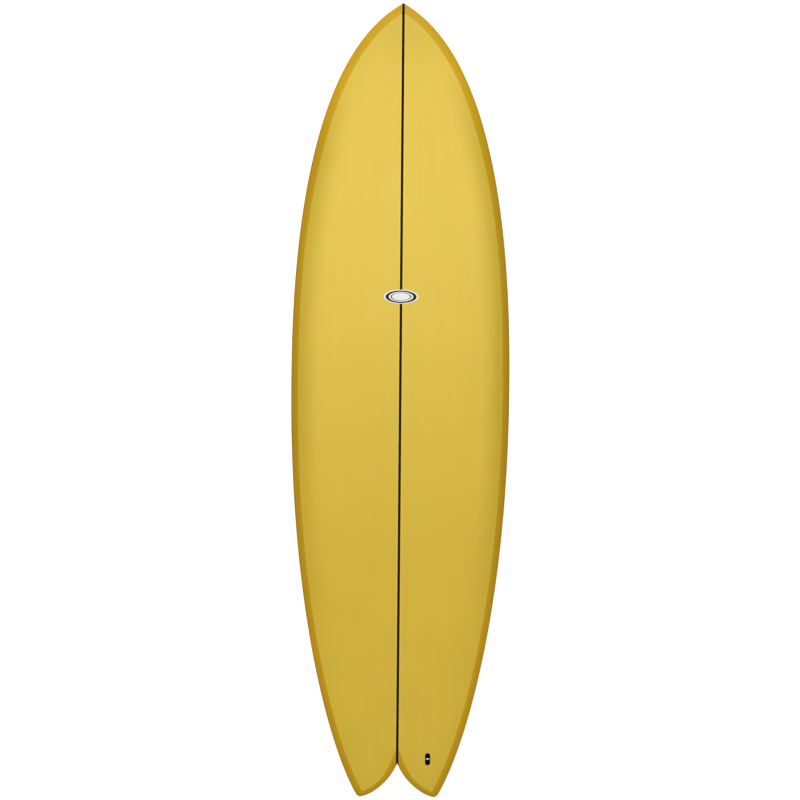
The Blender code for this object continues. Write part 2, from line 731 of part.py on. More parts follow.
def make_fin(side, bottom_skin, foam):
    """One fin with its box and its two grub screws."""
    word = side_name(side)
    frame = fin_frame(side)
    box_middle = -side * BOX_OFFSET
    box = add_part(
        f"fin_box_{word}",
        prism_mesh(f"fin_box_{word}", stadium(BOX_LENGTH, BOX_WIDTH), 0, BOX_DEPTH),
        WHITE_PLASTIC,
        frame,
    )
    box.location = (box_middle, 0, 0)
    fin = add_part(f"fin_{word}", blade_mesh(side), FIN_GLASS, frame)

    for place, y in (("front", TAB_SPACING / 2), ("rear", -TAB_SPACING / 2)):
        half_length, half_thickness = TAB_LENGTH / 2, TAB_THICKNESS / 2
        tab_mesh = box_mesh(
            "tab",
            (-half_thickness, -half_length, -2 * GAP),
            (half_thickness, half_length, TAB_DEPTH),
        )
        tab = add_cutter(f"tab_{word}_{place}", tab_mesh, frame)
        slot_mesh = box_mesh(
            "slot",
            (-half_thickness - GAP, -half_length - GAP, -CLEAR),
            (half_thickness + GAP, half_length + GAP, TAB_DEPTH + GAP),
        )
        slot = add_cutter(f"slot_{word}_{place}", slot_mesh, frame)
        axis = screw_frame(side, f"fin_screw_{word}_{place}", frame)
        hole_length = SCREW_LENGTH + 2 * GAP + SCREW_RADIUS
        hole = add_cutter(
            f"screw_hole_{word}_{place}",
            rod_mesh("hole", SCREW_RADIUS + GAP, hole_length, 2 * ROUND_STEPS),
            axis,
        )
        hole.location = (0, 0, SCREW_LENGTH + GAP - hole_length / 2)
        tab.location = slot.location = (0, y, 0)
        axis.location.y = y
        boolean(fin, tab, "UNION")
        boolean(box, slot, "DIFFERENCE")
        boolean(box, hole, "DIFFERENCE")
        make_screw(f"fin_screw_{word}_{place}", axis)

    clear_outline = stadium(BOX_LENGTH + 2 * GAP, BOX_WIDTH + 2 * GAP)
    for target, low, high in ((bottom_skin, -CLEAR, BOX_DEPTH / 2), (foam, -CLEAR, BOX_DEPTH + GAP)):
        pocket = add_cutter(
            f"box_pocket_{word}_{target.name}", prism_mesh("pocket", clear_outline, low, high), frame
        )
        pocket.location = (box_middle, 0, 0)
        boolean(target, pocket, "DIFFERENCE")


# ---- Assembly ----------------------------------------------------------------------------------
clear_scene()
PARTS = collection("surfboard")
CUTTERS = collection("cutters")
FOAM = material("foam", (0.90, 0.88, 0.80), 0.9)
WOOD = material("stringer_wood", (0.10, 0.06, 0.03), 0.6)
GLASS = material("tinted_glass", (0.78, 0.55, 0.09), 0.15)
BLACK_PLASTIC = material("black_plastic", (0.02, 0.02, 0.02), 0.4)
WHITE_PLASTIC = material("white_plastic", (0.80, 0.80, 0.78), 0.45)
STEEL = material("stainless_steel", (0.62, 0.62, 0.62), 0.25, 1.0)
FIN_GLASS = material("fin_glass", (0.05, 0.05, 0.05), 0.2)
PAPER = material("decal_paper", (0.90, 0.90, 0.88), 0.5)

foam_left, foam_right = make_blank()
bottom_laminate, deck_laminate = make_skins()
make_decal()
make_leash_plug(deck_laminate, foam_right)
make_fin(-1, bottom_laminate, foam_left)
make_fin(1, bottom_laminate, foam_right)

for part in PARTS.objects:
    part.data.shade_smooth()
    part.data.set_sharp_from_angle(angle=math.radians(35))
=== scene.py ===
"""The looks of a twin-fin surfboard with a pointed nose and a swallow tail.

+Y points to the nose, +X to the board's right side and +Z up out of the deck. A station is a distance
behind the nose tip.
"""

import json
import math

import bmesh
import bpy
import numpy as np
from mathutils import Matrix, Vector


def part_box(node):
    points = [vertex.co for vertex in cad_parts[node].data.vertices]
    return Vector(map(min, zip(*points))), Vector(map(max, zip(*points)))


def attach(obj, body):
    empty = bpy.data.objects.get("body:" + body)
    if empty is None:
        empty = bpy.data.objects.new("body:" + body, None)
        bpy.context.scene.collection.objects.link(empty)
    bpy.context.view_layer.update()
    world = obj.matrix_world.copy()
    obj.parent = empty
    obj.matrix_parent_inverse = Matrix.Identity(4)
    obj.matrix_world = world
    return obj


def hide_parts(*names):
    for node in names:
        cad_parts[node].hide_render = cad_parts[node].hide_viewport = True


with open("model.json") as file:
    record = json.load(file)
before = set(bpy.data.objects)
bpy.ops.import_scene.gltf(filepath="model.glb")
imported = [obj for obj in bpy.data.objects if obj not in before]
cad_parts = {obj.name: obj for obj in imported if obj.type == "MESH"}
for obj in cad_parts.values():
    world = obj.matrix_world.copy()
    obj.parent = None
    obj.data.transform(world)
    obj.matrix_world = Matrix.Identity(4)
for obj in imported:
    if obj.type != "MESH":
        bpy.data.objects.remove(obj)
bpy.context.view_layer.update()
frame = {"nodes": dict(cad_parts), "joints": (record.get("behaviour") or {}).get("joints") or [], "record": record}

# ---- Sizes that the frame gives ----
SKIN_LOW, SKIN_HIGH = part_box("bottom_laminate")
LENGTH = SKIN_HIGH.y - SKIN_LOW.y
WIDTH = SKIN_HIGH.x - SKIN_LOW.x
BOTTOM = SKIN_LOW.z  # the flat bottom's height off the floor
NOSE_Y = SKIN_HIGH.y
HALF_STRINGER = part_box("stringer")[1].x
GLUE = 0.0009  # dark glue each side of the wood, seen as part of its line
HALF_STRIPE = HALF_STRINGER + GLUE
DECAL_LOW, DECAL_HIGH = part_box("deck_decal")
DECAL_CENTRE = (DECAL_LOW + DECAL_HIGH) / 2
DECAL_HALF_X = (DECAL_HIGH.x - DECAL_LOW.x) / 2
DECAL_HALF_Y = (DECAL_HIGH.y - DECAL_LOW.y) / 2
JOINTS = {joint["name"]: joint for joint in frame["joints"]}
MOUNTS = {mount["name"]: mount for mount in frame["record"]["mounts"]}

# ---- The shaper's numbers, in metres ----
THICKNESS = 0.070
WIDE_POINT = 0.957  # stations
THICK_POINT = 0.880
NOSE_THICKNESS = 0.013
TAIL_THICKNESS = 0.014
NOSE_FOIL = 1.5
TAIL_FOIL = 0.85
NOSE_ANGLE = math.radians(61.7)
NOSE_SHOULDER = 0.1828
TAIL_SHOULDER = 0.5701
TAIL_HANDLE = 0.1205
TAIL_ANGLE = math.radians(32.2)
TAIL_SPAN = 0.1968
TAIL_TIP_WIDTH = 0.0124
NOTCH_DEPTH = 0.084
NOTCH_RADIUS = 0.155
TIP_ROUNDING = 0.007
NOSE_RADIUS = 0.0045  # in plan
FLAT_FROM = 0.960
FLAT_TO = 1.150
NOSE_ROCKER = 0.115
NOSE_ROCKER_POWER = 2.3
TAIL_ROCKER = 0.040
TAIL_ROCKER_POWER = 2.1
RAIL_LINE = 0.42
DECK_DOME = 2.4
RAIL_TUCK = 0.045
TAIL_RAIL_TUCK = 0.018
TUCK_EASES_FROM = 1.200
TUCK_EASES_TO = 1.650
NOTCH_DECK_ROUND = 0.003  # the notch's edge, sanded round on the deck
NOTCH_BOTTOM_ROUND = 0.002

# ---- Glass, plug, boxes and fins ----
SKIN = 0.0009
RAIL_LAP = ((0.0, 0.0205), (0.300, 0.0205), (0.600, 0.0168))  # (station, width)
NOTCH_LAP = ((0.0, 0.0165), (0.035, 0.0125))  # (distance from the middle, width)
UNDER_LAP = 0.034  # how far the deck cloth laps under the rail
LAP_STEP = 0.00012  # the lap's edge stands this proud of the deck glass
LAP_FEATHER = 0.003
PLUG_LENGTH = 0.0305
PLUG_WIDTH = 0.013
PLUG_RIM = 0.0019
PLUG_FLANGE = 0.0022
PLUG_DEPTH = 0.0165
PLUG_FLOOR = 0.0018
PIN_RADIUS = 0.002
PIN_BELOW_DECK = 0.006
PIN_SEAT = 0.0026
FIN_TOE = math.radians(2.5)
FIN_CANT = math.radians(6)
FIN_BASE = 0.160
FIN_DEPTH = 0.130
FIN_SWEEP = 0.088
FIN_THICKNESS = 0.0076
FIN_TIP_THICKNESS = 0.0026
FIN_EDGE = 0.0008
FIN_TIP_CHORD = 0.004
FIN_FRONT_ARMS = ((0.46, 0.62), (0.97, 0.05))
FIN_REAR_ARMS = ((0.30, -0.62), (0.70, -1.35))
FIN_FULLEST = 1 / 3
GAP = 0.0003
BOX_LENGTH = 0.128
BOX_WIDTH = 0.024
BOX_DEPTH = 0.019
BOX_OFFSET = 0.0018
TAB_SPACING = 0.076
TAB_LENGTH = 0.024
TAB_THICKNESS = 0.006
TAB_DEPTH = 0.013
SCREW_RADIUS = 0.0025
SCREW_LENGTH = 0.008
SCREW_TILT = math.radians(20)
SCREW_PITCH = 0.0008
SOCKET_FLATS = 0.0025
SOCKET_DEPTH = 0.0025

# ---- Camera, floor and sky ----
BOARD_SHARE = 0.99212  # share of the view's side that the board's length takes up
CAMERA_HEIGHT = 22.0
CAMERA_ASIDE = -0.0005
SENSOR_WIDTH = 36.0  # in millimetres
CAMERA_ROLL = math.radians(0.484)
FLOOR_HEIGHT = -max(joint["range_m"][1] for joint in JOINTS.values())  # clear of a lowered fin
FLOOR_REACH = 60.0
FLOOR_GLOW = 0.74  # keeps the pale floor even around the board
LIT_POINT = Vector((0, 0, 0.15))  # where the softboxes point
SKY_AT_HORIZON = 1.05
SKY_OVERHEAD = 0.32


# ---- Outline and section ----
def bezier(p0, p1, p2, p3, samples=700):
    t = np.linspace(0, 1, samples)[:, None]
    p0, p1, p2, p3 = (np.array(p) for p in (p0, p1, p2, p3))
    return (1 - t) ** 3 * p0 + 3 * t * (1 - t) ** 2 * p1 + 3 * t**2 * (1 - t) * p2 + t**3 * p3


def outer_outline():
    """(station, half width) from the nose to the outer corner of the tail tip."""
    nose = bezier(
        (0, 0),
        (WIDTH / 2 / math.tan(NOSE_ANGLE), WIDTH / 2),
        (WIDE_POINT - NOSE_SHOULDER, WIDTH / 2),
        (WIDE_POINT, WIDTH / 2),
    )
    tail = bezier(
        (WIDE_POINT, WIDTH / 2),
        (WIDE_POINT + TAIL_SHOULDER, WIDTH / 2),
        (LENGTH - TAIL_HANDLE * math.cos(TAIL_ANGLE), TAIL_SPAN / 2 + TAIL_HANDLE * math.sin(TAIL_ANGLE)),
        (LENGTH, TAIL_SPAN / 2),
    )
    return np.vstack([nose, tail[1:]])


def notch_outline(samples=160):
    """(station, half width) along one side of the notch, from its apex to the tail tip."""
    apex = np.array((LENGTH - NOTCH_DEPTH, 0.0))
    corner = np.array((LENGTH, TAIL_SPAN / 2 - TAIL_TIP_WIDTH))
    chord = corner - apex
    half_chord = np.linalg.norm(chord) / 2
    along = chord / (2 * half_chord)
    into_board = np.array((-along[1], along[0]))
    centre = (apex + corner) / 2 + into_board * math.sqrt(NOTCH_RADIUS**2 - half_chord**2)
    half_turn = math.asin(half_chord / NOTCH_RADIUS)
    turns = np.linspace(-half_turn, half_turn, samples)[:, None]
    return centre + NOTCH_RADIUS * (np.sin(turns) * along - np.cos(turns) * into_board)


OUTER = outer_outline()
NOTCH = notch_outline()
APEX = LENGTH - NOTCH_DEPTH
TIP_CENTRE = (TAIL_SPAN - TAIL_TIP_WIDTH) / 2


def fullness(station):
    """1 over the board's length, falling in a quarter circle to nothing at both ends."""
    from_end = min(station, LENGTH - station) / TIP_ROUNDING
    return math.sqrt(max(0.0, 1 - max(0.0, 1 - from_end) ** 2))


def half_width(station):
    edge = float(np.interp(station, *OUTER.T))
    if station > LENGTH - TIP_ROUNDING:
        return TIP_CENTRE + (edge - TIP_CENTRE) * fullness(station)
    rounding = 2 * NOSE_RADIUS * station * math.exp(-station / NOSE_RADIUS)
    return math.sqrt(edge**2 + rounding)


def notch_width(station):
    if station <= APEX:
        return 0.0
    edge = float(np.interp(station, *NOTCH.T))
    if station > LENGTH - TIP_ROUNDING:
        return TIP_CENTRE + (edge - TIP_CENTRE) * fullness(station)
    return edge


def rocker(station):
    if station < FLAT_FROM:
        return NOSE_ROCKER * ((FLAT_FROM - station) / FLAT_FROM) ** NOSE_ROCKER_POWER
    if station > FLAT_TO:
        return TAIL_ROCKER * ((station - FLAT_TO) / (LENGTH - FLAT_TO)) ** TAIL_ROCKER_POWER
    return 0.0


def thickness(station):
    if station < THICK_POINT:
        least, power, from_thickest = NOSE_THICKNESS, NOSE_FOIL, 1 - station / THICK_POINT
    else:
        from_thickest = (station - THICK_POINT) / (LENGTH - THICK_POINT)
        least, power = TAIL_THICKNESS, TAIL_FOIL
    return least + (THICKNESS - least) * (1 - from_thickest**2) ** power


def rail_height(station):
    """Height of the widest line round the board."""
    return BOTTOM + rocker(station) + thickness(station) * RAIL_LINE


def rail_tuck(station):
    eased = min(1, max(0, (station - TUCK_EASES_FROM) / (TUCK_EASES_TO - TUCK_EASES_FROM)))
    width = RAIL_TUCK + (TAIL_RAIL_TUCK - RAIL_TUCK) * eased
    return min(width, half_width(station) - notch_width(station))


def nearest(points, outline):
    """How far each (station, x) point is from an outline, and which of its points is the nearest."""
    found, which = np.empty(len(points)), np.empty(len(points), int)
    for start in range(0, len(points), 2000):
        part = slice(start, start + 2000)
        squares = ((points[part][:, None, :] - outline[None, :, :]) ** 2).sum(2)
        found[part], which[part] = np.sqrt(squares.min(1)), squares.argmin(1)
    return found, which


def sanded(from_edge, radius):
    """How far an edge's rounding has cut the surface down, at a distance from the edge."""
    into = np.clip(radius - from_edge, 0, radius)
    return radius - np.sqrt(radius**2 - into**2)


def middle_out(station, height):
    rail_line = thickness(station) * RAIL_LINE
    return rail_line + (height - rail_line) * fullness(station)


def from_notch(station, x):
    """Distance of points at one station from the notch, cut short ahead of it."""
    x = np.atleast_1d(np.asarray(x, float))
    if station < APEX - 2 * NOTCH_DECK_ROUND:
        return np.full(len(x), 1.0)
    ends_here = np.column_stack([np.full(len(x), station), x])
    found = nearest(ends_here, NOTCH)[0]
    return np.where(x <= notch_width(station) + 1e-7, 0.0, found) if station > APEX else found


def deck_height(station, x):
    """Heights of the deck over the floor."""
    x = np.atleast_1d(np.asarray(x, float))
    share = np.clip(np.abs(x) / max(half_width(station), 1e-9), 0, 1)
    dome = (1 - share**DECK_DOME) ** (1 / DECK_DOME)
    height = thickness(station) * (RAIL_LINE + (1 - RAIL_LINE) * dome)
    height = height - sanded(from_notch(station, np.abs(x)), NOTCH_DECK_ROUND)
    return BOTTOM + rocker(station) + middle_out(station, height)


def bottom_height(station, x):
    """Heights of the bottom over the floor."""
    x = np.atleast_1d(np.asarray(x, float))
    tuck = max(rail_tuck(station), 1e-9)
    share = np.clip((np.abs(x) - (half_width(station) - tuck)) / tuck, 0, 1)
    height = thickness(station) * RAIL_LINE * (1 - np.sqrt(1 - share**2))
    height = height + sanded(from_notch(station, np.abs(x)), NOTCH_BOTTOM_ROUND)
    return BOTTOM + rocker(station) + middle_out(station, height)


def y_of(station):
    return NOSE_Y - station


# ---- Lap lines on the deck ----
def moved_in(outline, distances):
    along = np.gradient(outline, axis=0)
    along /= np.linalg.norm(along, axis=1)[:, None]
    to_left = np.column_stack([-along[:, 1], along[:, 0]])
    return outline + to_left * np.asarray(distances)[:, None]


def lap_width(station):
    return np.interp(station, *zip(*RAIL_LAP))


def run_on(outline, spacing, count):
    """An outline with points added ahead of it, straight on from its first two."""
    step = outline[0] - outline[1]
    step *= spacing / np.linalg.norm(step)
    return np.vstack([outline[0] + step * np.arange(count, 0, -1)[:, None], outline])


RAIL_LAP_LINE = moved_in(OUTER, -lap_width(OUTER[:, 0]))
NOTCH_RUN_ON = run_on(NOTCH, 0.001, 40)
NOTCH_LAP_WIDTHS = np.interp(NOTCH_RUN_ON[:, 1], *zip(*NOTCH_LAP))
NOTCH_LAP_LINE = moved_in(NOTCH_RUN_ON, NOTCH_LAP_WIDTHS)
NOTCH_LAP_LINE = NOTCH_LAP_LINE[NOTCH_LAP_LINE[:, 1] > 0]


def lap_x(station):
    return float(np.interp(station, *RAIL_LAP_LINE.T))


def notch_lap_x(station):
    return float(np.interp(station, *NOTCH_LAP_LINE.T, left=0.0))


def station_where(line, x):
    """The first station at which a lap line is this far from the middle."""
    rising = line[: len(line) // 3]
    return float(np.interp(x, rising[:, 1], rising[:, 0]))


WINDOW_STARTS = station_where(RAIL_LAP_LINE, HALF_STRIPE)
WINDOW_SPLITS = station_where(NOTCH_LAP_LINE, HALF_STRIPE)


def window_end():
    """The station where the rail's and the notch's lap lines meet in a tail lobe."""
    fine = np.linspace(WINDOW_SPLITS, LENGTH, 4000)
    left = np.interp(fine, *RAIL_LAP_LINE.T) - np.interp(fine, *NOTCH_LAP_LINE.T)
    return float(fine[np.argmax(left <= 0)])


WINDOW_ENDS = window_end()


# ---- The board's skin as one net of points ----
STRIPE_COLUMNS = 3
FLAT_COLUMNS = 10
TUCK_COLUMNS = 10
RAIL_COLUMNS = 14
WINDOW_COLUMNS = 26
NOTCH_COLUMNS = 9
WALL_COLUMNS = 5


def spread(start, end, count, power=1.0):
    """count values from start, not reaching end; above power 1 they lie closer together near end."""
    return [start + (end - start) * (1 - (1 - i / count) ** power) for i in range(count)]


def section_points(station):
    """One section of the right half as a ring of (x, z): along the bottom from the inner edge to the
    rail, back over the deck, and down the notch's wall."""
    inner, outer = notch_width(station), half_width(station)
    tuck = rail_tuck(station)
    flat_end = outer - tuck
    seam = min(max(HALF_STRIPE, inner), outer)
    flat_start = max(seam, flat_end)
    bottom = spread(inner, seam, STRIPE_COLUMNS, 0.6 if inner else 1.0)
    bottom += spread(seam, flat_start, FLAT_COLUMNS)
    turn_from = math.asin(min(1.0, (flat_start - flat_end) / max(tuck, 1e-9)))
    for turn in spread(turn_from, math.pi / 2, TUCK_COLUMNS):
        bottom.append(flat_end + tuck * math.sin(turn))

    def turn_at(x):
        return math.acos(min(1.0, (x / outer) ** (DECK_DOME / 2))) if outer > 0 else 0.0

    def x_at(turn):
        return outer * math.cos(turn) ** (2 / DECK_DOME)

    rail_edge, notch_edge = lap_x(station), notch_lap_x(station)
    if station <= WINDOW_STARTS:
        rail_edge = notch_edge = seam
    elif station >= WINDOW_ENDS:
        share = (station - WINDOW_ENDS) / (LENGTH - WINDOW_ENDS)
        rail_edge = lap_x(WINDOW_ENDS) + (TIP_CENTRE - lap_x(WINDOW_ENDS)) * share
        notch_edge = rail_edge
    notch_edge = max(notch_edge, seam)
    rail_edge = max(rail_edge, notch_edge)
    deck = [x_at(turn) for turn in spread(0, turn_at(rail_edge), RAIL_COLUMNS)]
    for turn in spread(turn_at(rail_edge), turn_at(notch_edge), WINDOW_COLUMNS):
        deck.append(x_at(turn))
    deck += spread(notch_edge, seam, NOTCH_COLUMNS, 2.0)
    deck += spread(seam, inner, STRIPE_COLUMNS, 1.6)
    deck.append(inner)

    points = list(zip(bottom, bottom_height(station, bottom)))
    points += list(zip(deck, deck_height(station, deck)))
    top, foot = points[-1][1], points[0][1]
    for step in range(1, WALL_COLUMNS):
        points.append((inner, top + (foot - top) * step / WALL_COLUMNS))
    return points


def skin_stations():
    """Stations close together at the tips and wherever the outline or a lap line turns."""
    marks = [
        (TIP_ROUNDING, 0.0035), (0.060, 0.0035), (0.300, 0.008), (0.900, 0.018), (1.700, 0.018),
        (WINDOW_SPLITS - 0.004, 0.010), (WINDOW_SPLITS + 0.008, 0.002), (APEX - 0.008, 0.004),
        (APEX + 0.012, 0.0012), (WINDOW_ENDS - 0.004, 0.0032), (LENGTH - TIP_ROUNDING, 0.002),
    ]
    rounding = [TIP_ROUNDING * (1 - math.cos(math.pi / 2 * i / 9)) for i in range(10)]
    stations = list(rounding)
    reached = TIP_ROUNDING
    for end, step in marks[1:]:
        count = max(1, math.ceil((end - reached) / step))
        stations += [reached + (end - reached) * i / count for i in range(1, count + 1)]
        reached = end
    stations += [LENGTH - step for step in rounding]
    fixed = {WINDOW_STARTS, WINDOW_SPLITS, APEX, WINDOW_ENDS, LENGTH}
    ordered = sorted({*stations, *fixed})
    kept = [ordered[0]]
    for station in ordered[1:]:
        if station - kept[-1] > 0.0003 or station in fixed:
            if station in fixed and station - kept[-1] < 0.0003 and kept[-1] not in fixed:
                kept.pop()
            kept.append(station)
    return kept


BOTTOM_GLASS, DECK_GLASS = 0, 1
PLAIN, STRIPE = 0, 1


class Net:
    """Points and faces of the board's whole outer surface, each face with its skin and its finish."""

    def __init__(self):
        self.points = []
        self.index = {}
        self.faces = []
        self.skins = []
        self.finishes = []

    def point(self, x, y, z):
        key = (round(x, 6), round(y, 6), round(z, 6))
        if key not in self.index:
            self.index[key] = len(self.points)
            self.points.append((x, y, z))
        return self.index[key]

    def face(self, corners, skin, finish):
        loop = [c for i, c in enumerate(corners) if c != corners[i - 1]]
        if len(set(loop)) < 3 or len(set(loop)) < len(loop):
            return
        self.faces.append(loop)
        self.skins.append(skin)
        self.finishes.append(finish)


def column_skins():
    """For each column of faces: its name."""
    names = ["stripe under"] * STRIPE_COLUMNS + ["bottom"] * (FLAT_COLUMNS + TUCK_COLUMNS)
    names += ["rail"] * RAIL_COLUMNS + ["window"] * WINDOW_COLUMNS + ["notch"] * NOTCH_COLUMNS
    names += ["stripe over"] * STRIPE_COLUMNS + ["wall"] * WALL_COLUMNS
    return names


def skin_net():
    net = Net()
    stations = skin_stations()
    sections = [section_points(station) for station in stations]
    names = column_skins()
    for side in (1, -1):
        rows = []
        for station, section in zip(stations, sections):
            y = y_of(station)
            rows.append([net.point(side * x, y, z) for x, z in section])
        for row in range(len(rows) - 1):
            front, rear = rows[row], rows[row + 1]
            middle = (stations[row] + stations[row + 1]) / 2
            for column, name in enumerate(names):
                following = (column + 1) % len(front)
                if name == "wall" and middle < APEX:
                    continue
                corners = [front[column], front[following], rear[following], rear[column]]
                inset = min(sections[row + 1][column][0], sections[row + 1][following][0])
                striped = name.startswith("stripe") or (name == "wall" and inset < HALF_STRIPE)
                windowed = WINDOW_STARTS < middle < WINDOW_SPLITS
                in_deck = name == "window" or (name == "stripe over" and windowed)
                net.face(corners if side > 0 else corners[::-1],
                         DECK_GLASS if in_deck else BOTTOM_GLASS, STRIPE if striped else PLAIN)
    return net


# ---- Mesh helpers ----
def new_object(name, data):
    obj = bpy.data.objects.new(name, data)
    bpy.context.scene.collection.objects.link(obj)
    return obj


def add_piece(name, mesh, finishes, body, replaced=()):
    """A shown piece that rides on a CAD body and stands for CAD nodes."""
    obj = new_object(name, mesh)
    while len(mesh.materials) < len(finishes):
        mesh.materials.append(None)
    for number, finish in enumerate(finishes):
        mesh.materials[number] = finish
    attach(obj, body)
    if replaced:
        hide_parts(*replaced)
    return obj


def smoothed(mesh, degrees=35):
    mesh.shade_smooth()
    mesh.set_sharp_from_angle(angle=math.radians(degrees))
    return mesh


def loft(name, rings):
    """A closed solid through rings of points, with a flat face over its first and its last ring."""
    bm = bmesh.new()
    rows = [[bm.verts.new(point) for point in ring] for ring in rings]
    count = len(rows[0])
    for row, following in zip(rows, rows[1:]):
        for i in range(count):
            j = (i + 1) % count
            bm.faces.new((row[i], row[j], following[j], following[i]))
    bm.faces.new(rows[0])
    bm.faces.new(rows[-1])
    bmesh.ops.recalc_face_normals(bm, faces=bm.faces[:])
    mesh = bpy.data.meshes.new(name)
    bm.to_mesh(mesh)
    bm.free()
    return mesh


def stadium(length, width, offset=0.0, steps=20):
    """Outline with straight sides along Y and half-round ends, grown by offset."""
    radius, straight = width / 2 + offset, (length - width) / 2
    points = []
    for end in (1, -1):
        for step in range(steps + 1):
            turn = math.pi * step / steps
            points.append((end * radius * math.cos(turn), end * (straight + radius * math.sin(turn))))
    return points


def plug_outline(offset):
    return stadium(PLUG_LENGTH, PLUG_WIDTH, offset, 24)


def box_outline(offset):
    return stadium(BOX_LENGTH, BOX_WIDTH, offset, 24)


def soft_box(length, width, corner, steps=5):
    """Outline of a rectangle along Y with rounded corners."""
    points = []
    for number, (sx, sy) in enumerate(((1, 1), (-1, 1), (-1, -1), (1, -1))):
        for step in range(steps + 1):
            turn = math.pi / 2 * (number + step / steps)
            points.append((sx * (width / 2 - corner) + corner * math.cos(turn),
                           sy * (length / 2 - corner) + corner * math.sin(turn)))
    return points


def circle(radius, steps=40, turned=0.0):
    turns = [math.tau * step / steps + turned for step in range(steps)]
    return [(radius * math.cos(turn), radius * math.sin(turn)) for turn in turns]


def at_height(outline, z):
    return [(x, y, z) for x, y in outline]


def turned_profile(name, outline_at, profile):
    """A loft of one kind of outline, grown and raised step by step: profile holds (offset, height)."""
    return loft(name, [at_height(outline_at(offset), z) for offset, z in profile])


def combined(mesh, cutters, operation="DIFFERENCE"):
    """mesh after a Boolean step with each cutter mesh."""
    base = new_object("base", mesh)
    helpers = []
    for cutter in cutters:
        helper = new_object("cutter", cutter)
        step = base.modifiers.new("step", "BOOLEAN")
        step.operation = operation
        step.object = helper
        step.solver = "EXACT"
        helpers.append(helper)
    graph = bpy.context.evaluated_depsgraph_get()
    made = bpy.data.meshes.new_from_object(base.evaluated_get(graph), depsgraph=graph)
    for obj in [base, *helpers]:
        bpy.data.objects.remove(obj, do_unlink=True)
    return made


def placed(mesh, place):
    mesh.transform(place)
    return mesh


def turned(axis, angle):
    return Matrix.Rotation(angle, 4, axis)


def shifted(x, y, z):
    return Matrix.Translation((x, y, z))


def side_name(side):
    return "right" if side > 0 else "left"


# ---- Glass skins ----
def edge_distances(points):
    """How far points on the skin are from the board's edge, and how far inside the deck's lap line."""
    flat = np.column_stack([NOSE_Y - points[:, 1], np.abs(points[:, 0])])
    to_rail, rail_place = nearest(flat, OUTER)
    to_run_on, notch_place = nearest(flat, NOTCH_RUN_ON)
    inside_lap = np.minimum(to_rail - lap_width(OUTER[rail_place, 0]),
                            to_run_on - NOTCH_LAP_WIDTHS[notch_place])
    return np.minimum(to_rail, nearest(flat, NOTCH)[0]), inside_lap


def corners_of(mesh):
    co = np.empty(len(mesh.vertices) * 3, np.float32)
    mesh.vertices.foreach_get("co", co)
    return co.reshape(-1, 3).astype(float)


def note(mesh, name, values):
    """Stores a value on each of a mesh's points, for its finish."""
    layer = mesh.attributes.new(name, "FLOAT", "POINT")
    layer.data.foreach_set("value", values.astype(np.float32))


def note_distances(mesh):
    """Stores how far each point is from the board's edge and how far past a lap's edge."""
    points = corners_of(mesh)
    from_edge, over = edge_distances(points)
    rail_heights = np.interp(NOSE_Y - points[:, 1], RAIL_STATIONS, RAIL_HEIGHTS)
    note(mesh, "from_edge", from_edge)
    note(mesh, "past_lap", np.where(points[:, 2] > rail_heights, over, from_edge - UNDER_LAP))


RAIL_STATIONS = np.linspace(0, LENGTH, 400)
RAIL_HEIGHTS = np.array([rail_height(station) for station in RAIL_STATIONS])


def skin_mesh(net, normals, skin):
    """One skin as a closed shell, with the lap's edge standing a little proud."""
    chosen = [i for i, s in enumerate(net.skins) if s == skin]
    used = sorted({corner for i in chosen for corner in net.faces[i]})
    number = {corner: i for i, corner in enumerate(used)}
    outside = np.array([net.points[corner] for corner in used])
    outward = normals[used]
    inside = outside - outward * SKIN
    if skin == BOTTOM_GLASS:
        inside_lap = edge_distances(outside)[1]
        near_lap = np.clip(1 + inside_lap / LAP_FEATHER, 0, 1) * (outward[:, 2] > 0.3)
        outside = outside + outward * (LAP_STEP * near_lap**2)[:, None]
    faces, finishes, edges = [], [], {}
    count = len(used)
    for i in chosen:
        loop = [number[corner] for corner in net.faces[i]]
        faces.append(loop)
        finishes.append(net.finishes[i])
        faces.append([c + count for c in reversed(loop)])
        finishes.append(PLAIN)
        for a, b in zip(loop, loop[1:] + loop[:1]):
            edges[a, b] = net.finishes[i]
    for (a, b), finish in edges.items():
        if (b, a) not in edges:
            faces.append([b, a, a + count, b + count])
            finishes.append(finish)
    mesh = bpy.data.meshes.new("skin")
    mesh.from_pydata(np.vstack([outside, inside]).tolist(), [], faces)
    mesh.materials.append(TINTED_LAP)
    mesh.materials.append(GLASSED_STRINGER)
    mesh.polygons.foreach_set("material_index", finishes)
    mesh.update()
    return mesh


def make_skins():
    net = skin_net()
    bm = bmesh.new()
    points = [bm.verts.new(point) for point in net.points]
    for loop in net.faces:
        bm.faces.new([points[corner] for corner in loop])
    bmesh.ops.recalc_face_normals(bm, faces=bm.faces[:])
    bm.normal_update()
    bm.verts.index_update()
    normals = np.array([vert.normal for vert in bm.verts])
    net.faces = [[corner.index for corner in face.verts] for face in bm.faces]
    bm.free()

    pockets = [
        placed(turned_profile("pocket", box_outline, [(0.0001, -0.01), (0.0001, BOX_DEPTH / 2)]),
               box_place(side))
        for side in (-1, 1)
    ]
    bottom = combined(skin_mesh(net, normals, BOTTOM_GLASS), pockets)
    window = placed(turned_profile("window", plug_outline, [(0.0001, -0.004), (0.0001, 0.01)]), PLUG_PLACE)
    deck = combined(skin_mesh(net, normals, DECK_GLASS), [window])
    for name, mesh, tint, slot, node in (
        ("bottom_glass", bottom, TINTED_LAP, "lapped_glass", "bottom_laminate"),
        ("deck_glass", deck, TINTED_DECK, "deck_glass", "deck_laminate"),
    ):
        note_distances(mesh)
        smoothed(mesh, 40)
        add_piece(name, mesh, [tint, GLASSED_STRINGER], "board", [node])


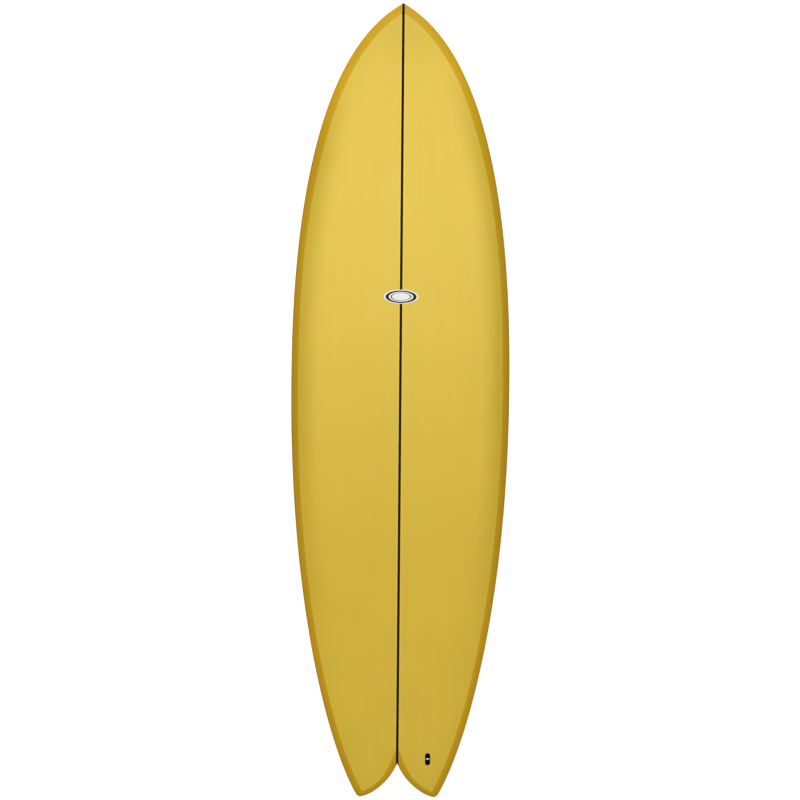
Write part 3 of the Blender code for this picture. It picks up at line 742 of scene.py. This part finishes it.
# ---- Places of the plug, the boxes, the fins and the screws ----
def plug_place():
    """The leash plug's own axes: +Z out of the deck and +Y towards the nose."""
    mount = MOUNTS["leash_plug_rim"]
    out = Vector(mount["axis"]).normalized()
    across = Vector((out.z, 0, -out.x)).normalized()
    along = out.cross(across)
    centre = Vector(mount["pos_m"]) - along * (PLUG_LENGTH - PLUG_RIM) / 2
    return Matrix.Translation(centre) @ Matrix((across, along, out)).transposed().to_4x4()


def fin_turn(side):
    """A fin's own axes: +Y along the fin to the nose and +Z into the board."""
    pull = Vector(JOINTS[f"fin_{side_name(side)}_slide"]["axis"])
    slope = math.atan2(-pull.y, -pull.z)
    return turned("X", -slope) @ turned("Z", side * FIN_TOE)


def middle_of(node):
    low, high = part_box(node)
    return (low + high) / 2


def fin_place(side):
    turn = fin_turn(side)
    middle = turn @ Vector((-side * BOX_OFFSET, 0, BOX_DEPTH / 2))
    return Matrix.Translation(middle_of(f"fin_box_{side_name(side)}") - middle) @ turn


def box_place(side):
    return fin_place(side) @ shifted(-side * BOX_OFFSET, 0, 0)


def screw_place(side, place):
    """A screw's own axes, from its outer end: +Z down the screw into the box."""
    turn = fin_turn(side) @ turned("Y", side * SCREW_TILT)
    middle = turn @ Vector((0, 0, SCREW_LENGTH / 2))
    return Matrix.Translation(middle_of(f"fin_screw_{side_name(side)}_{place}") - middle) @ turn


PLUG_PLACE = plug_place()


# ---- Leash plug ----
def make_leash_plug():
    shoulder = -(SKIN + 2 * GAP)
    floor = -PLUG_DEPTH + PLUG_FLOOR
    profile = [
        (PLUG_FLANGE - 0.0006, -PLUG_DEPTH), (PLUG_FLANGE - 0.0002, -PLUG_DEPTH + 0.0002),
        (PLUG_FLANGE, -PLUG_DEPTH + 0.0006), (PLUG_FLANGE, shoulder - 0.0004),
        (PLUG_FLANGE - 0.0004, shoulder), (0.0, shoulder), (0.0, -0.0001), (-0.0001, 0.0001),
        (-0.0003, 0.0002), (-PLUG_RIM + 0.0005, 0.0002), (-PLUG_RIM + 0.0002, 0.0001),
        (-PLUG_RIM, -0.0003), (-PLUG_RIM, floor + 0.0014), (-PLUG_RIM - 0.0004, floor + 0.0004),
        (-PLUG_RIM - 0.0014, floor),
    ]
    cup = turned_profile("leash cup", plug_outline, profile)
    length = PLUG_WIDTH - 2 * PLUG_RIM + 2 * PIN_SEAT
    across = shifted(0, 0, -PIN_BELOW_DECK) @ turned("Y", math.pi / 2)
    bore = turned_profile("bore", lambda o: circle(PIN_RADIUS + 0.0001 + o, 32),
                          [(0, -length / 2 - GAP), (0, length / 2 + GAP)])
    cup = combined(cup, [placed(bore, across)])
    add_piece("leash_cup_moulded", placed(smoothed(cup), PLUG_PLACE), [BLACK_PLASTIC], "board",
              ["leash_cup"])
    half = length / 2
    ends = [(-0.0005, half), (-0.0002, half - 0.0001), (0, half - 0.0005)]
    rod = [(offset, -z) for offset, z in ends] + ends[::-1]
    pin = turned_profile("leash pin", lambda o: circle(PIN_RADIUS + o, 32), rod)
    add_piece("leash_pin_turned", placed(smoothed(pin, 60), PLUG_PLACE @ across), [PIN_STEEL], "board",
              ["leash_pin"])


# ---- Fins ----
def fin_edge(base, arms, depth):
    points = [(0, base)]
    points += [(down * FIN_DEPTH, along * FIN_BASE / 2) for down, along in arms]
    points.append((FIN_DEPTH, -FIN_SWEEP))
    return float(np.interp(depth, *bezier(*points).T))


FIN_ROWS = 64
FOIL_STEPS = 30
NOSE_RUN = 0.0022  # length of a blade's rounded front edge
TAIL_RUN = 0.0009


def blade_section(depth, side):
    """One section of a blade: nearly flat inside and full outside, with both edges rounded."""
    front = fin_edge(FIN_BASE / 2, FIN_FRONT_ARMS, depth)
    rear = fin_edge(-FIN_BASE / 2, FIN_REAR_ARMS, depth)
    if front - rear < FIN_TIP_CHORD:
        middle = (front + rear) / 2
        front, rear = middle + FIN_TIP_CHORD / 2, middle - FIN_TIP_CHORD / 2
    from_tip = (FIN_DEPTH - depth) / (FIN_TIP_CHORD / 2)
    rounding = 1.0 if from_tip >= 1 else math.sqrt(1 - (1 - from_tip) ** 2)
    rounding = max(rounding, 0.06)
    middle = (front + rear) / 2
    chord = (front - rear) * rounding
    front = middle + chord / 2
    full = FIN_THICKNESS + (FIN_TIP_THICKNESS - FIN_THICKNESS) * depth / FIN_DEPTH
    inside = depth * math.tan(FIN_CANT) - TAB_THICKNESS / 2 - GAP
    spine = inside + FIN_EDGE / 2
    z = -GAP - depth
    outer_face, inner_face = [], []
    for i in range(FOIL_STEPS + 1):
        back = (1 - math.cos(math.pi * i / FOIL_STEPS)) / 2
        bulge = math.sqrt(back) * (1 - back) / (math.sqrt(FIN_FULLEST) * (1 - FIN_FULLEST))
        from_front = min(1.0, back * chord / NOSE_RUN)
        from_rear = min(1.0, (1 - back) * chord / TAIL_RUN)
        edge = math.sqrt(1 - (1 - from_front) ** 2) * math.sqrt(1 - (1 - from_rear) ** 2)
        y = front - chord * back
        swell = FIN_EDGE / 2 + (full - FIN_EDGE) * bulge
        outer_face.append((side * (spine + swell * max(edge, 0.02) * rounding), y, z))
        inner_face.append((side * (spine - FIN_EDGE / 2 * max(edge, 0.02) * rounding), y, z))
    return outer_face + inner_face[::-1][1:-1]


def note_fin_edge(mesh):
    """Stores on each point of a blade how far it is from the blade's curved edge."""
    depths = np.linspace(0, FIN_DEPTH, 200)
    edge = [(fin_edge(FIN_BASE / 2, FIN_FRONT_ARMS, d), -d) for d in depths]
    edge += [(fin_edge(-FIN_BASE / 2, FIN_REAR_ARMS, d), -d) for d in depths]
    note(mesh, "from_edge", nearest(corners_of(mesh)[:, 1:], np.array(edge))[0])


def make_fin(side):
    word = side_name(side)
    depths = [FIN_DEPTH * math.sin(math.pi / 2 * i / FIN_ROWS) for i in range(FIN_ROWS + 1)]
    blade = loft("fin", [blade_section(depth, side) for depth in depths])
    tabs = []
    for y in (TAB_SPACING / 2, -TAB_SPACING / 2):
        rings = []
        for inset, z in ((0, -2 * GAP), (0, TAB_DEPTH - 0.0012), (0.0004, TAB_DEPTH - 0.0004),
                         (0.0012, TAB_DEPTH)):
            outline = soft_box(TAB_LENGTH - 2 * inset, TAB_THICKNESS - 2 * inset, 0.0008 + inset / 2)
            rings.append(at_height([(px, py + y) for px, py in outline], z))
        tabs.append(loft("tab", rings))
    fin = combined(blade, tabs, "UNION")
    note_fin_edge(fin)
    add_piece(f"fin_foiled_{word}", placed(smoothed(fin, 38), fin_place(side)), [FIN_GLASS],
              f"fin_{word}", [f"fin_{word}"])


def make_box(side):
    word = side_name(side)
    profile = [(-0.0012, BOX_DEPTH), (-0.0004, BOX_DEPTH - 0.0004), (0, BOX_DEPTH - 0.0012),
               (0, 0.0003), (-0.0001, 0.0001), (-0.0003, 0)]
    shell = turned_profile("fin box", box_outline, profile)
    cutters = []
    box_here = box_place(side).inverted()
    for place, y in (("front", TAB_SPACING / 2), ("rear", -TAB_SPACING / 2)):
        rings = []
        for grown, z in ((0.0008, -0.001), (0.0008, -0.0001), (0, 0.0007), (0, TAB_DEPTH + GAP)):
            outline = soft_box(TAB_LENGTH + 2 * (GAP + grown), TAB_THICKNESS + 2 * (GAP + grown), 0.0011)
            rings.append(at_height([(px + side * BOX_OFFSET, py + y) for px, py in outline], z))
        cutters.append(loft("slot", rings))
        hole = turned_profile("hole", lambda o: circle(SCREW_RADIUS + o, 32),
                              [(0.0009, -0.003), (0.0009, -0.0005), (0.0002, 0.0004),
                               (0.0002, SCREW_LENGTH + GAP)])
        cutters.append(placed(hole, box_here @ screw_place(side, place)))
    box = combined(shell, cutters)
    add_piece(f"fin_box_moulded_{word}", placed(smoothed(box), box_place(side)), [WHITE_PLASTIC],
              "board", [f"fin_box_{word}"])


def threaded_rod():
    """A grub screw's outside: a helical thread that fades out at both ends."""
    steps, rows = 36, int(SCREW_LENGTH / SCREW_PITCH * 8)
    rings = []
    for row in range(rows + 1):
        z = SCREW_LENGTH * row / rows
        from_end = min(z, SCREW_LENGTH - z)
        chamfer = max(0.0, 0.0006 - from_end)
        ring = []
        for step in range(steps):
            turn = math.tau * step / steps
            wave = abs(((z / SCREW_PITCH - step / steps) % 1) * 2 - 1)
            radius = SCREW_RADIUS - 0.00042 * wave
            radius = min(radius, SCREW_RADIUS - chamfer)
            ring.append((radius * math.cos(turn), radius * math.sin(turn), z))
        rings.append(ring)
    return loft("grub screw", rings)


def make_screws(side):
    word = side_name(side)
    corners = SOCKET_FLATS / math.sqrt(3)
    for place in ("front", "rear"):
        socket = turned_profile("socket", lambda o: circle(corners + o, 6),
                                [(0.0003, -0.001), (0.0003, -0.00005), (0, 0.00035), (0, SOCKET_DEPTH)])
        screw = smoothed(combined(threaded_rod(), [socket]), 30)
        add_piece(f"grub_screw_{word}_{place}", placed(screw, screw_place(side, place)), [STEEL],
                  f"screw_{word}_{place}", [f"fin_screw_{word}_{place}"])


# ---- Decal ----
DECAL_THICKNESS = 0.00014
DECAL_SHARES = (0.996, 0.9, 0.78, 0.62, 0.46, 0.3, 0.14, 0.04)  # each top ring's share of its size
DECAL_RINGS = [(1.0, 0.00003), (1.0, 0.00010)] + [(share, DECAL_THICKNESS) for share in DECAL_SHARES]


def make_decal():
    """An oval of printed paper that follows the deck."""
    under = [(share, DECAL_RINGS[0][1]) for share in (0.04, 0.3, 0.6, 0.85)]
    rings = []
    for share, lift in under + DECAL_RINGS:
        ring = []
        for x, y in circle(share, 96):
            place_x, place_y = DECAL_HALF_X * x, DECAL_CENTRE.y + DECAL_HALF_Y * y
            height = float(deck_height(NOSE_Y - place_y, place_x)[0])
            ring.append((place_x, place_y, height + lift))
        rings.append(ring)
    add_piece("decal_printed", smoothed(loft("decal", rings)), [DECAL_PAPER], "board",
              ["deck_decal"])


# ---- Finishes ----
class Wire:
    """A value in a finish's nodes; arithmetic on it adds Math nodes to that finish."""

    def __init__(self, finish, socket):
        self.finish = finish
        self.socket = socket

    def sum_of(self, operation, *terms):
        return self.finish.node("ShaderNodeMath", {"operation": operation}, dict(enumerate(terms)))

    def __abs__(self):
        return self.sum_of("ABSOLUTE", self)

    def sine(self):
        return self.sum_of("SINE", self)


def operator(operation, reflected):
    def apply(self, other):
        return self.sum_of(operation, *((other, self) if reflected else (self, other)))

    return apply


for word, operation in (("add", "ADD"), ("sub", "SUBTRACT"), ("mul", "MULTIPLY"),
                        ("truediv", "DIVIDE"), ("pow", "POWER")):
    setattr(Wire, f"__{word}__", operator(operation, False))
    setattr(Wire, f"__r{word}__", operator(operation, True))


class Nodes:
    """The nodes that feed one shader."""

    def __init__(self, tree, shader):
        self.tree = tree
        self.shader = tree.nodes[shader]

    def node(self, kind, settings=None, values=None, output=0):
        """A node of any type: its settings first, then the values or wires of its sockets."""
        made = self.tree.nodes.new(kind)
        for name, value in (settings or {}).items():
            if name == "stops":
                elements = made.color_ramp.elements
                while len(elements) < len(value):
                    elements.new(1.0)
                for element, (place, colour) in zip(elements, value):
                    element.position = place
                    element.color = (*colour, 1)
            else:
                setattr(made, name, value)
        for socket, value in (values or {}).items():
            self.plug(value, made.inputs[socket])
        return Wire(self, made.outputs[output])

    def plug(self, value, socket):
        if isinstance(value, Wire):
            self.tree.links.new(value.socket, socket)
        elif socket.type == "RGBA":
            socket.default_value = (*value, 1)
        else:
            socket.default_value = value

    def place(self):
        return self.node("ShaderNodeTexCoord", output="Object")

    def axis(self, name, of=None):
        return self.node("ShaderNodeSeparateXYZ", values={0: of or self.place()}, output=name)

    def noted(self, name):
        return self.node("ShaderNodeAttribute", {"attribute_name": name}, output="Fac")

    def stretched(self, x, y, z):
        values = {0: self.place(), 1: (x, y, z)}
        return self.node("ShaderNodeVectorMath", {"operation": "MULTIPLY"}, values)

    def cloud(self, scale, detail=2.0, roughness=0.5, over=None):
        """Smooth noise from 0 to 1, in features per metre."""
        values = {"Vector": over or self.place(), "Scale": scale, "Detail": detail, "Roughness": roughness}
        return self.node("ShaderNodeTexNoise", values=values)

    def eased(self, value, low, high):
        values = {0: value, 1: low, 2: high, 3: 0.0, 4: 1.0}
        return self.node("ShaderNodeMapRange", {"interpolation_type": "SMOOTHSTEP"}, values)

    def between(self, value, low, high, start, end):
        """value carried in a straight line from low..high to start..end, and held there."""
        return self.node("ShaderNodeMapRange", values={0: value, 1: low, 2: high, 3: start, 4: end})

    def blend(self, share, first, second, way="MIX"):
        settings = {"data_type": "RGBA", "blend_type": way}
        return self.node("ShaderNodeMix", settings, {0: share, 6: first, 7: second}, 2)

    def dyed_and_shaded(self, colour, dye, share):
        """A colour as it is, with a share of it multiplied by a second colour: a dye for the real tints, painted
        shade for the others.
        """
        return self.blend(share, colour, self.blend(1.0, colour, dye, "MULTIPLY"))

    def shaded(self, colour, level):
        """A colour times a level."""
        grey = self.node("ShaderNodeCombineColor", values={0: level, 1: level, 2: level})
        return self.blend(1.0, colour, grey, "MULTIPLY")

    def weave(self, pitch, across="X", along="Y"):
        """Height of a plain cloth weave, from 0 to 1."""
        place = self.place()
        warp = (self.axis(across, place) * (math.pi / pitch)).sine()
        weft = (self.axis(along, place) * (math.pi / pitch)).sine()
        return 0.5 + 0.5 * warp * weft

    def bump(self, height, distance, strength=1.0):
        values = {"Height": height, "Distance": distance, "Strength": strength}
        return self.node("ShaderNodeBump", values=values, output="Normal")

    def wired(self, **wires):
        for socket, value in wires.items():
            self.plug(value, self.shader.inputs[socket.replace("_", " ")])


class Finish(Nodes):
    """One material. Plain numbers go on the shader's own sockets; what varies is made of nodes."""

    def __init__(self, name, **sockets):
        self.material = bpy.data.materials.new(name)
        self.material.use_nodes = True
        super().__init__(self.material.node_tree, "Principled BSDF")
        self.wired(**sockets)

    def done(self, **wires):
        self.wired(**wires)
        return self.material


CLOTH_PITCH = 0.0011
GLOSS = {"IOR": 1.45, "Coat_Roughness": 0.13, "Coat_IOR": 1.4}
DECK_AT_NOSE = (0.788, 0.571, 0.0930)
# the deck's colour at the tail holds painted shade: darker than at the nose, for a falloff of light along the
# board
DECK_SHADED_AT_TAIL = (0.693, 0.482, 0.0525)
NOSE_SHADE = (0.915, 0.905, 0.840)  # painted shade at the nose tip: what is kept of the deck's colour there
RAIL_SHADE = (0.745, 0.720, 0.480)  # painted shade at the rail, where the deck curves down
DOUBLE_CLOTH = (0.815, 0.688, 0.215)  # where two layers of cloth lap
NOSE_DOUBLE_CLOTH = (0.870, 0.755, 0.360)
RIM_SHADE = (0.900, 0.840, 0.600)  # painted shade along the rail's edge itself
STRINGER_DARK = (0.0120, 0.0060, 0.0030)
GLUE_LINE = (1.13, 1.13, 1.00)


# Where each tint and each painted shade comes and goes, in metres behind the nose.
DECK_SHADE_TURNS = (0.45, 1.5)
NOSE_SHADE_ENDS = (0.06, 0.20)
RAIL_SHADE_STARTS = (0.08, 0.42)
RAIL_SHADE_FADES = (0.85, 1.75)
NOSE_LAP_ENDS = (0.02, 0.14)
# Painted shade along the rail, where the deck curves down to it: full for a flat width off the rail, then fading
# in a bell curve.
RAIL_SHADE_FLAT = 0.018
RAIL_SHADE_BELL = 0.033
RAIL_SHADE_REACH = 0.200
RAIL_SHADE_LOST = 0.85  # the share of it that has faded at the tail
LAP_BLUR = 0.0012
RIM_SHADE_BAND = (0.001, 0.015)  # off the rail
GLUE_BAND = (HALF_STRIPE + 0.0018, HALF_STRIPE + 0.0034)  # off the middle


def resin_tint_and_shade(finish):
    """Colour of tinted resin and cloth over foam, with painted shade towards the tail, at the nose tip, along the
    rail and at the rim.
    """
    from_edge, past_lap = finish.noted("from_edge"), finish.noted("past_lap")
    behind_nose = NOSE_Y - finish.axis("Y")
    # painted shade: the deck darker towards the tail
    colour = finish.blend(finish.eased(behind_nose, *DECK_SHADE_TURNS), DECK_AT_NOSE, DECK_SHADED_AT_TAIL)
    # painted shade at the nose tip
    colour = finish.dyed_and_shaded(colour, NOSE_SHADE, 1.0 - finish.eased(behind_nose, *NOSE_SHADE_ENDS))
    # painted shade along the rail, where the deck curves down to it
    off_shade = finish.between(from_edge, RAIL_SHADE_FLAT, RAIL_SHADE_FLAT + RAIL_SHADE_REACH, 0.0, RAIL_SHADE_REACH) / RAIL_SHADE_BELL
    rail_shade = finish.eased(behind_nose, *RAIL_SHADE_STARTS) / (math.e ** (off_shade * off_shade))
    rail_shade = rail_shade * (1.0 - RAIL_SHADE_LOST * finish.eased(behind_nose, *RAIL_SHADE_FADES))
    colour = finish.dyed_and_shaded(colour, RAIL_SHADE, rail_shade)
    double_cloth = finish.blend(finish.eased(behind_nose, *NOSE_LAP_ENDS), NOSE_DOUBLE_CLOTH, DOUBLE_CLOTH)
    colour = finish.dyed_and_shaded(colour, double_cloth, 1.0 - finish.eased(past_lap, -LAP_BLUR, LAP_BLUR))
    # painted shade at the rim, darkest at the board's edge
    colour = finish.dyed_and_shaded(colour, RIM_SHADE, 1.0 - finish.eased(from_edge, *RIM_SHADE_BAND))
    glue = 1.0 - finish.eased(abs(finish.axis("X")), *GLUE_BAND)
    colour = finish.dyed_and_shaded(colour, GLUE_LINE, glue)
    clouded = finish.between(finish.cloud(7.0, 3.0), 0.3, 0.7, 0.985, 1.015)
    squeegeed = finish.cloud(1.0, 4.0, over=finish.stretched(60.0, 4.0, 20.0))
    pulled = finish.between(squeegeed, 0.3, 0.7, 0.99, 1.01)
    return finish.shaded(colour, clouded * pulled)


def tinted_glass(name):
    finish = Finish(name, Specular_IOR_Level=0.0, **GLOSS)
    cloth = finish.weave(CLOTH_PITCH)
    peel = finish.cloud(220.0, 2.0)
    sanded_marks = finish.cloud(1.0, 3.0, over=finish.stretched(900.0, 120.0, 900.0))
    rough = 0.30 + 0.05 * cloth + 0.08 * finish.cloud(18.0, 4.0)
    polished = finish.between(finish.noted("from_edge"), 0.002, 0.050, 0.4, 1.0)
    coat = finish.between(sanded_marks, 0.35, 0.75, 0.56, 0.46) * polished
    normal = finish.bump(cloth * 0.5 + peel, 0.00004, 0.6)
    return finish.done(Base_Color=resin_tint_and_shade(finish), Roughness=rough, Coat_Weight=coat, Normal=normal)


def glassed_stringer():
    """Dark wood under clear resin."""
    finish = Finish("stringer_under_glass", Specular_IOR_Level=0.0, **GLOSS)
    grain = finish.cloud(1.0, 6.0, 0.65, finish.stretched(2200.0, 26.0, 600.0))
    figured = finish.between(grain, 0.3, 0.75, 0.6, 1.7)
    rough = 0.32 + 0.12 * grain
    coat = finish.between(finish.cloud(40.0), 0.3, 0.7, 0.42, 0.52)
    return finish.done(Base_Color=finish.shaded(STRINGER_DARK, figured), Roughness=rough, Coat_Weight=coat,
                       Normal=finish.bump(grain, 0.00004, 0.5))


def raw_foam():
    finish = Finish("shaped_foam", Specular_IOR_Level=0.1)
    cells = finish.node("ShaderNodeTexVoronoi", values={"Vector": finish.place(), "Scale": 1400.0})
    tone = finish.between(finish.cloud(9.0, 4.0), 0.3, 0.7, 0.0, 1.0)
    colour = finish.blend(tone, (0.80, 0.74, 0.52), (0.88, 0.84, 0.68))
    return finish.done(Base_Color=colour, Roughness=0.86 + 0.1 * cells,
                       Normal=finish.bump(cells, 0.0002, 0.5))


def raw_stringer():
    finish = Finish("stringer_ply", Specular_IOR_Level=0.3)
    grain = finish.cloud(1.0, 6.0, 0.65, finish.stretched(900.0, 9.0, 260.0))
    colour = finish.blend(grain, (0.020, 0.010, 0.005), (0.11, 0.06, 0.03))
    return finish.done(Base_Color=colour, Roughness=0.5 + 0.2 * grain,
                       Normal=finish.bump(grain, 0.0001, 0.5))


def black_plastic():
    finish = Finish("plug_plastic", IOR=1.5, Specular_IOR_Level=0.2)
    grain = finish.cloud(2600.0, 2.0)
    scuffs = finish.eased(finish.cloud(420.0, 4.0), 0.58, 0.72)
    colour = finish.blend(scuffs * 0.35, (0.004, 0.004, 0.004), (0.02, 0.02, 0.02))
    return finish.done(Base_Color=colour, Roughness=0.42 + 0.2 * scuffs + 0.06 * grain,
                       Normal=finish.bump(grain, 0.00003, 0.5))


def white_plastic():
    finish = Finish("box_plastic", IOR=1.5, Specular_IOR_Level=0.4)
    grain = finish.cloud(1800.0, 2.0)
    grime = finish.eased(finish.cloud(160.0, 4.0), 0.5, 0.75)
    colour = finish.blend(grime * 0.5, (0.76, 0.76, 0.73), (0.60, 0.58, 0.52))
    return finish.done(Base_Color=colour, Roughness=0.38 + 0.2 * grime + 0.05 * grain,
                       Normal=finish.bump(grain, 0.00004, 0.5))


def brushed_steel(name, bright, dull, roughness):
    finish = Finish(name, Metallic=1.0)
    brushing = finish.cloud(1.0, 3.0, over=finish.stretched(600.0, 7000.0, 7000.0))
    stains = finish.between(finish.cloud(700.0, 3.0), 0.35, 0.7, 0.0, 1.0)
    return finish.done(Base_Color=finish.blend(stains, bright, dull), Roughness=roughness + 0.22 * brushing,
                       Normal=finish.bump(brushing, 0.00002, 0.6))


def fin_glass():
    """Smoke-tinted glass cloth, clear and amber along its thin edge."""
    finish = Finish("fin_laminate", IOR=1.5, Specular_IOR_Level=0.45, Coat_Roughness=0.05, Coat_IOR=1.5)
    cloth = finish.weave(0.0014, "Y", "Z")
    from_edge = finish.noted("from_edge")
    clear = 1.0 - finish.eased(from_edge + 0.002 * finish.cloud(120.0), 0.0035, 0.0085)
    core = finish.blend(cloth, (0.014, 0.014, 0.015), (0.034, 0.034, 0.036))
    halo = finish.blend(cloth * 0.6, (0.42, 0.27, 0.09), (0.30, 0.19, 0.06))
    rough = 0.2 + 0.1 * cloth + 0.1 * finish.cloud(60.0, 3.0)
    coat = finish.between(finish.cloud(90.0, 3.0), 0.3, 0.7, 0.7, 0.9)
    return finish.done(Base_Color=finish.blend(clear, core, halo), Roughness=rough, Coat_Weight=coat,
                       Normal=finish.bump(cloth, 0.00004, 0.5))


def decal_paper():
    """White paper with two plain dark rings, under the gloss."""
    finish = Finish("printed_paper", Specular_IOR_Level=0.2, **GLOSS)
    place = finish.place()
    x = finish.axis("X", place) / DECAL_HALF_X
    y = (finish.axis("Y", place) - DECAL_CENTRE.y) / DECAL_HALF_Y
    out = (x * x + y * y) ** 0.5
    wide = finish.eased(abs(out - 0.80), 0.10, 0.085)
    thin = finish.eased(abs(out - 0.56), 0.035, 0.025)
    fibres = finish.cloud(900.0, 4.0)
    paper = finish.blend(fibres, (0.80, 0.80, 0.77), (0.90, 0.90, 0.88))
    ink = finish.blend(fibres, (0.010, 0.010, 0.012), (0.022, 0.022, 0.026))
    inked = wide + thin
    coat = finish.between(finish.cloud(40.0), 0.3, 0.7, 0.42, 0.52)
    return finish.done(Base_Color=finish.blend(inked, paper, ink), Roughness=0.34 + 0.08 * fibres,
                       Coat_Weight=coat, Normal=finish.bump(fibres, 0.00002, 0.4))


TINTED_DECK = tinted_glass("tinted_deck_glass")
TINTED_LAP = tinted_glass("tinted_bottom_glass")
GLASSED_STRINGER = glassed_stringer()
RAW_FOAM = raw_foam()
RAW_STRINGER = raw_stringer()
BLACK_PLASTIC = black_plastic()
WHITE_PLASTIC = white_plastic()
STEEL = brushed_steel("screw_steel", (0.80, 0.80, 0.79), (0.62, 0.61, 0.59), 0.24)
PIN_STEEL = brushed_steel("pin_steel", (0.97, 0.97, 0.96), (0.90, 0.90, 0.88), 0.50)
FIN_GLASS = fin_glass()
DECAL_PAPER = decal_paper()


# ---- Studio ----
def make_camera():
    nose_scale = 1 / (CAMERA_HEIGHT - rail_height(0))
    tail_scale = 1 / (CAMERA_HEIGHT - rail_height(LENGTH))
    half = LENGTH / 2
    centre_y = half * (nose_scale - tail_scale) / (nose_scale + tail_scale)
    data = bpy.data.cameras.new("camera")
    data.sensor_width = SENSOR_WIDTH
    data.lens = data.sensor_width * BOARD_SHARE / 2 / ((half - centre_y) * nose_scale)
    data.clip_end = 200.0
    camera = new_object("camera", data)
    camera.location = (CAMERA_ASIDE, centre_y, CAMERA_HEIGHT)
    camera.rotation_euler = (0, 0, CAMERA_ROLL)
    bpy.context.scene.camera = camera


def make_lights():
    world = bpy.data.worlds.new("studio")
    bpy.context.scene.world = world
    world.use_nodes = True
    sky = Nodes(world.node_tree, "Background")
    up = sky.axis("Z", sky.node("ShaderNodeTexCoord", output="Generated"))
    overhead = sky.eased(up, 0.15, 0.95)
    sky.wired(Color=(1.0, 1.0, 1.0),
              Strength=SKY_AT_HORIZON - (SKY_AT_HORIZON - SKY_OVERHEAD) * overhead)
    make_softbox("softbox_nose", place=(-0.5, 4.2, 4.6), size=(5.0, 4.0), power=245.0)
    fill = make_softbox("softbox_below", place=(0, 0, -3.0), size=(6.0, 6.0), power=100.0)
    fill.data.cycles.use_multiple_importance_sampling = False  # so that it shines through the floor
    fill.visible_camera = fill.visible_glossy = False


def make_softbox(name, place, size, power):
    data = bpy.data.lights.new(name, "AREA")
    data.shape = "RECTANGLE"
    data.size, data.size_y = size
    data.energy = power
    lamp = new_object(name, data)
    lamp.location = place
    lamp.rotation_euler = (LIT_POINT - lamp.location).to_track_quat("-Z", "Y").to_euler()
    return lamp


def make_floor():
    corners = [(x * FLOOR_REACH, y * FLOOR_REACH) for x, y in ((-1, -1), (1, -1), (1, 1), (-1, 1))]
    mesh = bpy.data.meshes.new("floor")
    mesh.from_pydata(at_height(corners, FLOOR_HEIGHT), [], [(0, 1, 2, 3)])
    floor = new_object("floor", mesh)
    finish = Finish("studio_floor", Specular_IOR_Level=0.0, Emission_Strength=FLOOR_GLOW)
    mottle = finish.cloud(3.0, 3.0)
    seen = finish.node("ShaderNodeLightPath", output="Is Camera Ray")
    lit = finish.node("ShaderNodeLightPath", output="Is Shadow Ray")
    finish.done(Base_Color=finish.blend(mottle, (0.60, 0.60, 0.60), (0.62, 0.62, 0.62)), Roughness=0.9,
                Emission_Color=finish.blend(seen, (0.0, 0.0, 0.0), (1.0, 1.0, 1.0)))
    clear = finish.node("ShaderNodeBsdfTransparent")
    beneath = finish.node("ShaderNodeNewGeometry", output="Backfacing")
    solid = Wire(finish, finish.shader.outputs[0])
    shown = finish.node("ShaderNodeMixShader", values={0: beneath + lit, 1: solid, 2: clear})
    finish.plug(shown, finish.tree.nodes["Material Output"].inputs["Surface"])
    mesh.materials.append(finish.material)


bpy.context.scene.view_settings.view_transform = "Standard"
make_camera()
make_lights()
make_floor()

# ---- Assembly ----
CORES = (("foam_core_left", RAW_FOAM), ("foam_core_right", RAW_FOAM), ("stringer", RAW_STRINGER))
for node, finish in CORES:
    for material_slot in frame["nodes"][node].material_slots:
        material_slot.material = finish
make_skins()
make_leash_plug()
make_decal()
for side in (-1, 1):
    make_box(side)
    make_fin(side)
    make_screws(side)
